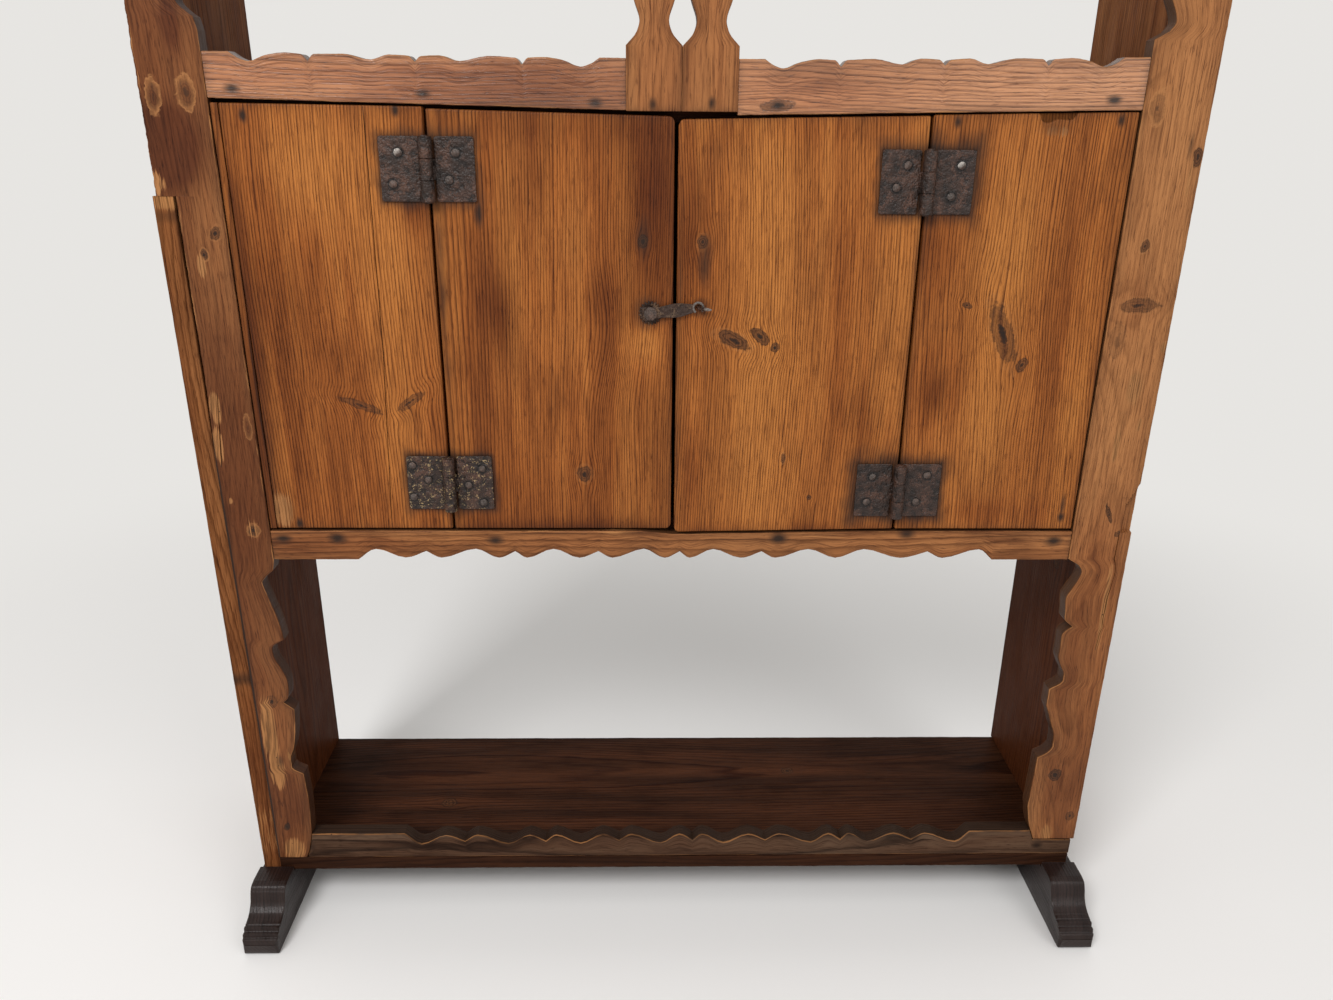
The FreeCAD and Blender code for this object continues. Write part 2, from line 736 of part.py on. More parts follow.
def hinge_leaf(axis_x, low, side, own_knuckles, shares):
    """A plate with its rolled knuckles; the plate is cut back beside the other leaf's knuckles."""
    edge_x = axis_x + side * leaf_reach
    plate_low = min(axis_x, edge_x)
    plate_high = max(axis_x, edge_x)
    plate = block(plate_low, plate_high, plank_y - leaf_thickness, plank_y, low, low + leaf_height)

    def at_tip(edge):
        return abs(edge.CenterOfMass.x - edge_x) < same_place and abs(edge.Length - leaf_thickness) < same_place

    shape = plate.makeChamfer(leaf_corner, edges_where(plate, at_tip))
    room = knuckle_radius + knuckle_room
    across = FreeCAD.Vector(1, 0, 0)
    back = FreeCAD.Vector(0, 1, 0)
    for index in range(knuckle_count):
        bottom, top = knuckle_span(index)
        if index in own_knuckles:
            rings = []
            for level in (low + bottom, low + top):
                center = FreeCAD.Vector(axis_x, hinge_axis_y, level)
                rings.append(ring_points(center, across, back, knuckle_radius, knuckle_facets))
            shape = shape.fuse(faceted_solid(rings))
        else:
            shape = shape.cut(block(axis_x - room, axis_x + room, plank_y - leaf_thickness, plank_y,
                                    low + bottom - knuckle_play, low + top + knuckle_play))
    bore = rod(pin_radius + pin_fit, FreeCAD.Vector(axis_x, hinge_axis_y, low - cut_overrun),
               FreeCAD.Vector(axis_x, hinge_axis_y, low + leaf_height + cut_overrun))
    return shape.cut([bore] + bores(axis_x, low, shares, side))


def hinge_pin(axis_x, low):
    """The pin with a hammered head at each end, resting on the outer knuckles."""
    across = FreeCAD.Vector(1, 0, 0)
    back = FreeCAD.Vector(0, 1, 0)
    high = low + leaf_height
    shape = rod(pin_radius, FreeCAD.Vector(axis_x, hinge_axis_y, low), FreeCAD.Vector(axis_x, hinge_axis_y, high))
    for seat, top in ((high, high + pin_head_height), (low, low - pin_head_height)):
        seat_ring = ring_points(FreeCAD.Vector(axis_x, hinge_axis_y, seat), across, back, pin_head_radius)
        top_ring = ring_points(FreeCAD.Vector(axis_x, hinge_axis_y, top), across, back,
                               pin_head_radius * head_waist_share)
        shape = shape.fuse(faceted_solid([seat_ring, top_ring]))
    return shape


def latch_rosette():
    """The toothed washer between the left door and the strap."""
    front = plank_y - rosette_thickness
    points = []
    for index in range(rosette_teeth * 2):
        radius = rosette_radius if index % 2 else rosette_root_radius
        angle = math.pi * index / rosette_teeth
        points.append(face_point(latch_x + radius * math.cos(angle), latch_z + radius * math.sin(angle), front))
    bore = rod(pivot_radius + pivot_fit, face_point(latch_x, latch_z, front - cut_overrun),
               face_point(latch_x, latch_z, plank_y + cut_overrun))
    return sawn_board(corners(*points), rosette_thickness).cut(bore)


def latch_strap():
    """The strap, drawn level and then turned to the catch; its eye is open below, so it lifts off."""
    def at(along, up):
        return face_point(latch_x + along, latch_z + up, strap_face_y)

    neck_x = catch_reach * strap_neck_share
    belly_x = catch_reach * strap_belly_share
    tip_x = catch_reach * strap_tip_share
    edge = ((strap_head_radius, strap_neck / 2), (neck_x, strap_neck / 2), (belly_x, strap_belly / 2),
            (tip_x, strap_tip / 2))
    poles = smooth_poles(edge)
    upper = [at(along, half) for along, half in poles]
    lower = [at(along, -half) for along, half in reversed(poles)]
    bar = sawn_board([upper, lower] + corners(at(0, -strap_neck / 2), at(0, strap_neck / 2)), strap_thickness)
    head = block(latch_x - strap_head_radius, latch_x + strap_head_radius, strap_face_y, strap_back_y,
                 latch_z - strap_head_radius, latch_z + strap_head_radius)
    eye = rod(eye_radius, at(catch_reach, 0), FreeCAD.Vector(latch_x + catch_reach, strap_back_y, latch_z))
    shape = bar.fuse([head, eye]).removeSplitter()
    front = strap_face_y - cut_overrun
    back = strap_back_y + cut_overrun
    eye_x = latch_x + catch_reach
    slot_half = catch_radius + catch_slot_play
    slot = block(eye_x - slot_half, eye_x + slot_half, front, back, latch_z - eye_radius - cut_overrun, latch_z)
    hole = rod(eye_bore, face_point(eye_x, latch_z, front), face_point(eye_x, latch_z, back))
    pivot = rod(pivot_radius + pivot_fit, face_point(latch_x, latch_z, front), face_point(latch_x, latch_z, back))
    shape = shape.cut([slot, hole, pivot])
    shape.rotate(face_point(latch_x, latch_z), FreeCAD.Vector(0, -1, 0), catch_angle)
    return shape


def latch_pivot():
    """The big-headed nail that the strap turns on."""
    seat = strap_face_y - latch_play
    shank = rod(pivot_radius, face_point(latch_x, latch_z, seat), face_point(latch_x, latch_z, plank_y + catch_depth))
    return nail_head(latch_x, latch_z, seat, pivot_head_radius, pivot_head_height).fuse(shank)


def mitre_across(heading, next_heading, up):
    """The direction across a rod at a turn, stretched so that the rod keeps its thickness through the mitre."""
    middle = heading + next_heading
    middle.normalize()
    return up.cross(middle) * (1 / middle.dot(heading))


def latch_catch():
    """The faceted nail that the eye drops over, its end hammered over to the right in front of the strap."""
    up = FreeCAD.Vector(0, 0, 1)
    forward = FreeCAD.Vector(0, -1, 0)
    sideways = FreeCAD.Vector(1, 0, 0)
    slanting = FreeCAD.Vector(1, -1, 0).normalize()
    turn_y = strap_face_y - catch_lift - catch_radius
    turned_x = catch_x + catch_bend_radius
    shape = faceted_solid([
        ring_points(face_point(catch_x, catch_z, plank_y + catch_depth), up.cross(forward), up, catch_radius),
        ring_points(face_point(catch_x, catch_z, turn_y + catch_bend_radius),
                    mitre_across(forward, slanting, up), up, catch_radius),
        ring_points(face_point(turned_x, catch_z, turn_y), mitre_across(slanting, sideways, up), up, catch_radius),
        ring_points(face_point(turned_x + catch_tail, catch_z, turn_y), up.cross(sideways), up, catch_radius),
    ])
    shape.rotate(face_point(catch_x, catch_z), FreeCAD.Vector(0, 1, 0), catch_angle)
    return shape


nodes = {
    "left_side_board": left_side_board(),
    "right_side_board": right_side_board(),
    "left_stile": left_stile(),
    "right_stile": right_stile(),
    "bottom_shelf": bottom_shelf(),
    "apron": apron(),
    "cupboard_floor": block(-left_inner, left_inner, frame_back_y, back_boards_y,
                            cupboard_floor_top - middle_board, cupboard_floor_top),
    "cupboard_top": block(-left_inner, left_inner, frame_back_y, back_boards_y,
                          cupboard_top_level - middle_board, cupboard_top_level),
    "left_gallery_rail": gallery_rail(left_stile_inner, baluster_left, 0, 0),
    "right_gallery_rail": gallery_rail(right_stile_inner, baluster_right, right_rail_drop, right_rail_rise),
    "left_baluster": baluster(baluster_left),
    "right_baluster": baluster(baluster_seam),
    "left_frieze": frieze(left_stile_inner, baluster_left),
    "right_frieze": frieze(right_stile_inner, baluster_right),
    "top_board": top_cap(),
    "left_fixed_panel": left_fixed_panel(),
    "right_fixed_panel": right_fixed_panel(),
    "panel_filler_strip": filler_strip(),
    "left_foot": foot(-1),
    "right_foot": foot(1),
    "left_door": left_door(),
    "right_door": right_door(),
    "latch_rosette": latch_rosette(),
    "latch_strap": latch_strap(),
    "latch_pivot_nail": latch_pivot(),
    "latch_catch_nail": latch_catch(),
}
nodes["shelf_lip"] = shelf_lip([nodes["left_stile"], nodes["right_stile"]])

for number in range(back_board_count):
    nodes["back_board_%d" % (number + 1)] = cupboard_back(number, back_board_count)

hinges = (
    ("upper_left", -hinge_seam, upper_left_hinge, -1, upper_left_fixed_shares, upper_left_door_shares),
    ("upper_right", hinge_seam, upper_right_hinge, 1, upper_right_fixed_shares, upper_right_door_shares),
    ("lower_left", -hinge_seam, lower_left_hinge, -1, lower_left_fixed_shares, lower_left_door_shares),
    ("lower_right", hinge_seam, lower_right_hinge, 1, lower_right_fixed_shares, lower_right_door_shares),
)
frame_nails = []
door_nails = {-1: [], 1: []}
for name, axis_x, low, side, fixed_shares, door_shares in hinges:
    nodes[name + "_fixed_leaf"] = hinge_leaf(axis_x, low, side, (0, 2), fixed_shares)
    nodes[name + "_door_leaf"] = hinge_leaf(axis_x, low, -side, (1,), door_shares)
    nodes[name + "_hinge_pin"] = hinge_pin(axis_x, low)
    frame_nails += leaf_nails(axis_x, low, fixed_shares, side)
    door_nails[side] += leaf_nails(axis_x, low, door_shares, -side)
nodes["hinge_nails_panels"] = Part.makeCompound(frame_nails)
nodes["hinge_nails_left_door"] = Part.makeCompound(door_nails[-1])
nodes["hinge_nails_right_door"] = Part.makeCompound(door_nails[1])

for name, shape in nodes.items():
    shape.exportStep("parts/%s.step" % name)
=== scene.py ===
"""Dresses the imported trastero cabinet: worn pine boards, hand-forged iron, a pale floor and soft light.

Lengths are metres in the CAD frame: X to the right, Y to the back, Z up from the floor. The rows of knots and
spots on the boards are in millimetres.
"""

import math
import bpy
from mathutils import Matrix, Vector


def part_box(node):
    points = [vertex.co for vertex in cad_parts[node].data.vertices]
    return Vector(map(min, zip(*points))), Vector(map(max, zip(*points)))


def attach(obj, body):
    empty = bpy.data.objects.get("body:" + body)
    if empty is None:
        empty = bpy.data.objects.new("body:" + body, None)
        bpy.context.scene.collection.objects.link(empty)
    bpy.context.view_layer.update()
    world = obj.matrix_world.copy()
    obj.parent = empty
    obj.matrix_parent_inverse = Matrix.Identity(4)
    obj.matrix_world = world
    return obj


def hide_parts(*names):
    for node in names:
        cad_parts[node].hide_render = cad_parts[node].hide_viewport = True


bl_info = {
    "name": "Trastero cabinet",
    "version": (1, 0, 0),
    "blender": (4, 5, 0),
    "location": "3D View > Sidebar > Cabinet",
    "description": "Dresses the packed cabinet with worn pine boards and forged iron",
    "category": "Object",
}

from collections import namedtuple

import bpy
import numpy as np
from mathutils import Matrix, Vector

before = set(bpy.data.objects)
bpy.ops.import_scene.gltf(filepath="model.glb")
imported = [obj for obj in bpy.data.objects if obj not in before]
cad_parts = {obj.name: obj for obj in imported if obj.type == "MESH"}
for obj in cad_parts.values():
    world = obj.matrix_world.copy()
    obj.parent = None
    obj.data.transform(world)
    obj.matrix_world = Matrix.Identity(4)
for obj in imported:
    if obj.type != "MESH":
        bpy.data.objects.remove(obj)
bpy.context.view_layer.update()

# The along, across and depth axes of a board: a rail runs in X, is as high as Z and as thick as Y.
ALONG_X = (0, 2, 1)
ALONG_X_FLAT = (0, 1, 2)  # a shelf
ALONG_Z = (2, 0, 1)       # an upright or a door
ALONG_Z_SIDE = (2, 1, 0)  # a side of the case
ALONG_Y = (1, 2, 0)       # a foot
TOUCH = 2e-5              # two CAD places closer than this are one place
KNOT_REACH = 1.6          # a knot's mark ends at this many half sizes
CREASE = 38               # degrees between faces from which an edge is drawn sharp
SIDE_PITCH = 0.008        # mesh pitch through a board's thickness
ARRIS_PITCH = 0.0012      # from a board's rounded edge to the next line on its face
NIBBLES = (0.0006, 0.0005)  # depth of the short and of the long waves in a sawn edge
SPLIT_TAPER = 0.02        # a split runs out over this length
DIRT_REACH = 0.0045       # dirt thins out at this distance from an edge

# How a board was sawn from its log, and the marks that it carries. pith is the log's middle from the board's
# middle, across and in depth, and spacing is one growth ring. The pith leans by slope and wanders by sway
# over each length. A tone darkens the wood (above 0) or lightens it, and a bend pushes the lines across by
# its strength. A halo is an iron stain round a rectangle. A split has the places from one end to the other,
# its half width and depth, and how far beside it the lines bend. shade darkens the board, and lines is how
# strong its rings are.
Timber = namedtuple(
    "Timber",
    "pith spacing slope sway length knots stains pale tones bends halos splits shade seed lines",
    defaults=((0.05, 0.12), 0.004, 0.02, 0.004, 0.9, (), (), (), (), (), (), (), 0.0, 1, 1.0),
)
# long and wide are half sizes, tilt is in degrees, dark is the depth of colour, halo the pale ring round it.
Knot = namedtuple("Knot", "along across long wide tilt dark halo", defaults=(0.0, 0.8, 0.0))
Spot = namedtuple("Spot", "along across long wide strength tilt", defaults=(0.0,))
Halo = namedtuple("Halo", "bottom top left right reach strength")


def knots(*rows):
    """Knots from rows whose places and half sizes are in millimetres."""
    return tuple(Knot(*(value / 1000 for value in row[:4]), *row[4:]) for row in rows)


def spots(*rows):
    """Spots from rows whose places and half sizes are in millimetres."""
    return tuple(Spot(*(value / 1000 for value in row[:4]), *row[4:]) for row in rows)


def colour(name, description, default):
    """A colour that a user may set."""
    words = {"name": name, "description": description, "default": default}
    return bpy.props.FloatVectorProperty(**words, subtype="COLOR", size=3, min=0.0, max=1.0)


def size(name, description, default, unit="LENGTH", **more):
    """A size, power or angle that a user may set."""
    return bpy.props.FloatProperty(name=name, description=description, default=default, unit=unit, **more)


def share(name, description, default):
    """A share from 0 to 1 that a user may set."""
    words = {"name": name, "description": description, "default": default}
    return bpy.props.FloatProperty(**words, subtype="FACTOR", min=0.0, max=1.0)


class CABINET_PG_wood(bpy.types.PropertyGroup):
    """Colours and gloss of the waxed pine. The early wood of a ring is pale and soft, the late dark."""

    frame_early: colour("Frame, early wood", "Pale part of a ring on the frame", (0.280, 0.101, 0.033))
    frame_late: colour("Frame, late wood", "Dark part of a ring on the frame", (0.125, 0.040, 0.012))
    door_early: colour("Doors, early wood", "Pale part of a ring on the doors", (0.325, 0.100, 0.0205))
    door_late: colour("Doors, late wood", "Dark part of a ring on the doors", (0.088, 0.022, 0.0048))
    rail_early: colour("Rails, early wood", "Pale part of a ring on the rails", (0.385, 0.155, 0.070))
    rail_late: colour("Rails, late wood", "Dark part of a ring on the rails", (0.100, 0.036, 0.018))
    lip_early: colour("Lip, early wood", "Pale part of a ring on the lip", (0.092, 0.047, 0.027))
    lip_late: colour("Lip, late wood", "Dark part of a ring on the lip", (0.031, 0.016, 0.010))
    dark_early: colour("Shelf, early wood", "Pale part of a ring on dark boards", (0.043, 0.0155, 0.0068))
    dark_late: colour("Shelf, late wood", "Dark part of a ring on dark boards", (0.018, 0.005, 0.002))
    foot_early: colour("Feet, early wood", "Pale part of a ring on the feet", (0.025, 0.0132, 0.0108))
    foot_late: colour("Feet, late wood", "Dark part of a ring on the feet", (0.011, 0.006, 0.005))
    knot: colour("Knots", "Core of a knot", (0.120, 0.046, 0.018))
    stain: colour("Iron stain", "Blue-black mark that iron leaves in wood", (0.024, 0.014, 0.010))
    # Worn spots also paint the highlight on front arrises, and the patina also paints the shade on side faces
    # along the edges.
    pale: colour("Worn spots", "Bare wood where the wax has gone", (0.35, 0.155, 0.056))
    patina: colour("Patina", "Dirt and old wax in corners and along edges", (0.018, 0.009, 0.006))
    gloss: share("Roughness", "Roughness of the wax", 0.46)


class CABINET_PG_iron(bpy.types.PropertyGroup):
    """Colours of the forged iron."""

    iron: colour("Iron", "Blackened iron", (0.022, 0.0120, 0.0085))
    rust: colour("Rust", "Brown rust", (0.058, 0.027, 0.017))
    fleck: colour("Flecks", "Pale crust in the pits", (0.42, 0.29, 0.14))
    # Also the colour of the painted highlights on nail heads and on the latch's eye.
    bright: colour("Rubbed metal", "Metal rubbed bright", (0.46, 0.42, 0.38))
    roughness: share("Roughness", "Roughness of the iron", 0.42)


class CABINET_PG_wear(bpy.types.PropertyGroup):
    """Sizes of wear and of the mesh."""

    edge: size("Worn edge", "Radius of a worn front edge", 0.0022)
    back_edge: size("Sawn edge", "Radius of an edge that nobody touches", 0.0009)
    hollow: size("Plane marks", "Depth of the hollows left by the hand plane", 0.00035)
    fine_pitch: size("Fine pitch", "Mesh pitch on boards with knots", 0.0021, min=0.0005)
    coarse_pitch: size("Coarse pitch", "Mesh pitch on plain boards", 0.006, min=0.0005)
    bead_width: size("Bead groove", "Half width of the grooves beside the toes' beads", 0.0011)
    bead_depth: size("Bead depth", "Depth of the grooves beside the toes' beads", 0.0016)


class CABINET_PG_stage(bpy.types.PropertyGroup):
    """Floor, backdrop, lamps and camera."""

    floor: colour("Floor", "Colour of the floor", (0.93, 0.92, 0.91))
    backdrop: colour("Backdrop", "Colour behind the cabinet", (0.80, 0.785, 0.76))
    sky_tint: colour("Sky", "Colour of the light from all round", (1.0, 0.985, 0.96))
    sky: share("Sky light", "Strength of the light from all round", 0.56)
    lamp: size("Lamp", "Power of the main lamp", 78.0, "POWER")
    fill: size("Fill", "Power of the fill lamp", 26.0, "POWER")
    focal: size("Focal length", "Camera lens in millimetres", 26.99, "CAMERA")
    pitch: size("Pitch", "How far the camera looks down", math.radians(20.962), "ROTATION")
    yaw: size("Yaw", "How far the camera looks to the right", math.radians(1.195), "ROTATION")
    roll: size("Roll", "How far the camera leans", math.radians(0.516), "ROTATION")
    stand: bpy.props.FloatVectorProperty(
        name="Camera place", description="Where the camera stands", default=(-0.0358, -1.3013, 1.1160),
        subtype="TRANSLATION", unit="LENGTH")


def face_outline(node, axes, face):
    """The rim of a node's flat face, as an array of line pieces with (along, across) at both ends.

    The face is the one with the lowest (-1) or highest (1) depth. Its rim is made of the triangle sides that
    belong to one triangle only.
    """
    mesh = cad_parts[node].data
    mesh.calc_loop_triangles()
    places = np.empty(len(mesh.vertices) * 3)
    mesh.vertices.foreach_get("co", places)
    places = places.reshape(-1, 3)
    triangles = np.empty(len(mesh.loop_triangles) * 3, np.int32)
    mesh.loop_triangles.foreach_get("vertices", triangles)
    triangles = triangles.reshape(-1, 3)
    depth = places[:, axes[2]]
    level = depth.min() if face < 0 else depth.max()
    triangles = triangles[(np.abs(depth[triangles] - level) < TOUCH).all(axis=1)]
    flat = np.round(places[:, axes[:2]] / TOUCH).astype(np.int64)
    corners, names = np.unique(flat, axis=0, return_inverse=True)
    sides = np.sort(names.ravel()[triangles][:, [[0, 1], [1, 2], [2, 0]]].reshape(-1, 2), axis=1)
    pairs, counts = np.unique(sides, axis=0, return_counts=True)
    return corners[pairs[counts == 1]] * TOUCH


def crossings(outline, stations):
    """Lowest and highest across value of an outline at each station, read off each straight piece."""
    start, end = outline[:, 0], outline[:, 1]
    run = end[:, 0] - start[:, 0]
    slanted = np.abs(run) > TOUCH / 2
    start, end, run = start[slanted], end[slanted], run[slanted]
    share_along = (stations[:, None] - start[None, :, 0]) / run[None, :]
    inside = (share_along > -1e-4) & (share_along < 1 + 1e-4)
    values = start[None, :, 1] + share_along * (end[:, 1] - start[:, 1])[None, :]
    return np.where(inside, values, np.inf).min(axis=1), np.where(inside, values, -np.inf).max(axis=1)


def ripple(x, y, seed):
    """Smooth uneven height from 0 to 1: the mean of six sine waves of rising rate in turned directions."""
    chance = np.random.default_rng(seed)
    total = np.zeros(np.broadcast(x, y).shape)
    weight = 0.0
    for wave in range(1, 7):
        angle, phase = chance.uniform(0, 2 * np.pi, 2)
        rate = wave ** 0.9 * chance.uniform(0.85, 1.15)
        total += np.sin(rate * (x * np.cos(angle) + y * np.sin(angle)) + phase) / wave ** 0.5
        weight += 1 / wave ** 0.5
    return 0.5 + 0.5 * total / weight


def fade(value, start, end):
    """1 before start, 0 after end, and a smooth cubic step between them."""
    t = np.clip((value - start) / (end - start), 0, 1)
    return 1 - t * t * (3 - 2 * t)


def rounding(radius, from_end):
    """How far a rounded end steps back at a distance from it: r - sqrt(r^2 - (r - t)^2)."""
    return radius - np.sqrt(np.maximum(0, radius ** 2 - np.maximum(0, radius - from_end) ** 2))


def section(columns, back_columns, side_columns, corner_steps, margin):
    """A board's section as a closed row of points, each with its place on a rounded rectangle.

    Returns arrays: share across, share in depth, outward direction (across, depth) and which corner's radius
    it takes. Faces run between the four quarter circles, and the row starts in the middle of the back.
    """
    quarter = np.linspace(0, np.pi / 2, corner_steps + 1)
    sin, cos = np.sin(quarter), np.cos(quarter)
    face = np.concatenate(([margin], np.linspace(margin * 2, 1 - margin * 2, columns), [1 - margin]))
    back = np.linspace(1, 0, back_columns + 2)[1:-1]
    side = np.linspace(0, 1, side_columns + 2)[1:-1]
    rows = ((face, 0.0, 0.0, -1.0, 0.0), (1.0, 0.0, sin, -cos, 1.0), (1.0, side, 1.0, 0.0, 1.0),
            (1.0, 1.0, cos, sin, 2.0), (back, 1.0, 0.0, 1.0, 2.0), (0.0, 1.0, -sin, cos, 3.0),
            (0.0, side[::-1], -1.0, 0.0, 3.0), (0.0, 0.0, -cos, -sin, 0.0))
    points = np.concatenate([np.stack(np.broadcast_arrays(*row), axis=1) for row in rows])
    return np.roll(points, -(columns + 2 + 2 * (corner_steps + 1) + side_columns + back_columns // 2), axis=0)


def spot_distance(u, v, place):
    """Distance from an elliptical spot's centre in half sizes, after turning by the spot's tilt."""
    tilt = math.radians(place.tilt)
    du, dv = u - place.along, v - place.across
    turned_u = du * math.cos(tilt) + dv * math.sin(tilt)
    turned_v = dv * math.cos(tilt) - du * math.sin(tilt)
    return np.hypot(turned_u / place.long, turned_v / place.wide)


def ring_count(u, v, w, middle, timber):
    """Growth rings from the pith: the distance from a pith line that leans and sways, over the ring spacing.

    Knots and bends push the lines aside first, by a share of exp(-d^2) at a distance d.
    """
    pushed = v.copy()
    for bend in timber.bends:
        pushed -= bend.strength * np.exp(-spot_distance(u, v, bend) ** 2)
    for knot in timber.knots:
        aside = 1.8 * knot.wide * np.tanh((v - knot.across) / (2 * knot.wide))
        pushed -= aside * np.exp(-(spot_distance(u, v, knot) / 2.4) ** 2)
    sway = timber.sway * np.sin(2 * np.pi * u / timber.length + timber.seed)
    pith_v = middle[1] + timber.pith[0] + timber.slope * (u - middle[0]) + sway
    pith_w = middle[2] + timber.pith[1] + 0.6 * sway
    rings = np.hypot(pushed - pith_v, w - pith_w) / timber.spacing
    return rings + 1.6 * ripple(rings * 0.35, u * 1.5, timber.seed)


def grain_and_marks(u, v, w, around, front, edge_distance, middle, timber):
    """The attributes of a board's points.

    grain is (growth rings, along, around). marks is (knot, stain, pale, dirt): the knot value is a cone that
    falls from 1 in its middle to 0 at its reach. tones is (lighter or darker around 0.5, knot's depth of
    colour, strength of the pale ring around the knot, how strongly the growth rings show).
    """
    rings = ring_count(u, v, w, middle, timber)
    cone, depth, ring, pale, stain = np.zeros((5,) + u.shape)
    for knot in timber.knots:
        distance = spot_distance(u, v, knot) * (0.92 + 0.16 * ripple(u * 260, v * 260, timber.seed + 3))
        own = np.clip(1 - distance / KNOT_REACH, 0, 1) * front
        depth = np.where(own > cone, knot.dark, depth)
        ring = np.where(own > cone, knot.halo, ring)
        cone = np.maximum(cone, own)
    uneven = ripple(u * 14, v * 60, timber.seed + 9)
    for place in timber.stains:
        stain = np.maximum(stain, place.strength * fade(spot_distance(u, v, place), 0.0, 1.3) * front)
    for box in timber.halos:
        away_u = np.maximum(0, np.maximum(box.bottom - u, u - box.top))
        away_v = np.maximum(0, np.maximum(box.left - v, v - box.right))
        reach = box.reach * (0.35 + 1.4 * ripple(u * 55, v * 75, timber.seed + 5))
        falling = np.exp(-(np.hypot(away_u * 0.8, away_v) / reach) ** 1.4)
        stain = np.maximum(stain, box.strength * falling * front)
    for place in timber.pale:
        pale = np.maximum(pale, place.strength * fade(spot_distance(u, v, place), 0.35, 1.35) * front)
    tone = np.full_like(u, timber.shade)
    for place in timber.tones:
        near = np.exp(-spot_distance(u, v, place) ** 2) * front
        tone += 1.2 * place.strength * near * (0.75 + 0.5 * uneven)
    dirt = 0.55 * np.exp(-edge_distance / DIRT_REACH) * (0.3 + uneven)
    grain = np.stack([rings, u, around + 0.7 * timber.seed], axis=-1)
    marks = np.stack([cone, stain, pale, np.clip(dirt, 0, 1)], axis=-1)
    tones = np.stack([np.clip(0.5 + 0.5 * tone, 0, 1), depth, ring, timber.lines + 0 * u], axis=-1)
    return grain, marks, tones


def split_columns(share_across, facing, spot, half):
    """Moves the three face columns nearest to a split's place onto it. Returns the middle one's index."""
    nearest = np.sort(facing[np.argsort(np.abs(share_across[facing] - spot))[:3]])
    share_across[nearest] = spot + np.array((-1, 0, 1)) * half
    return nearest[1]


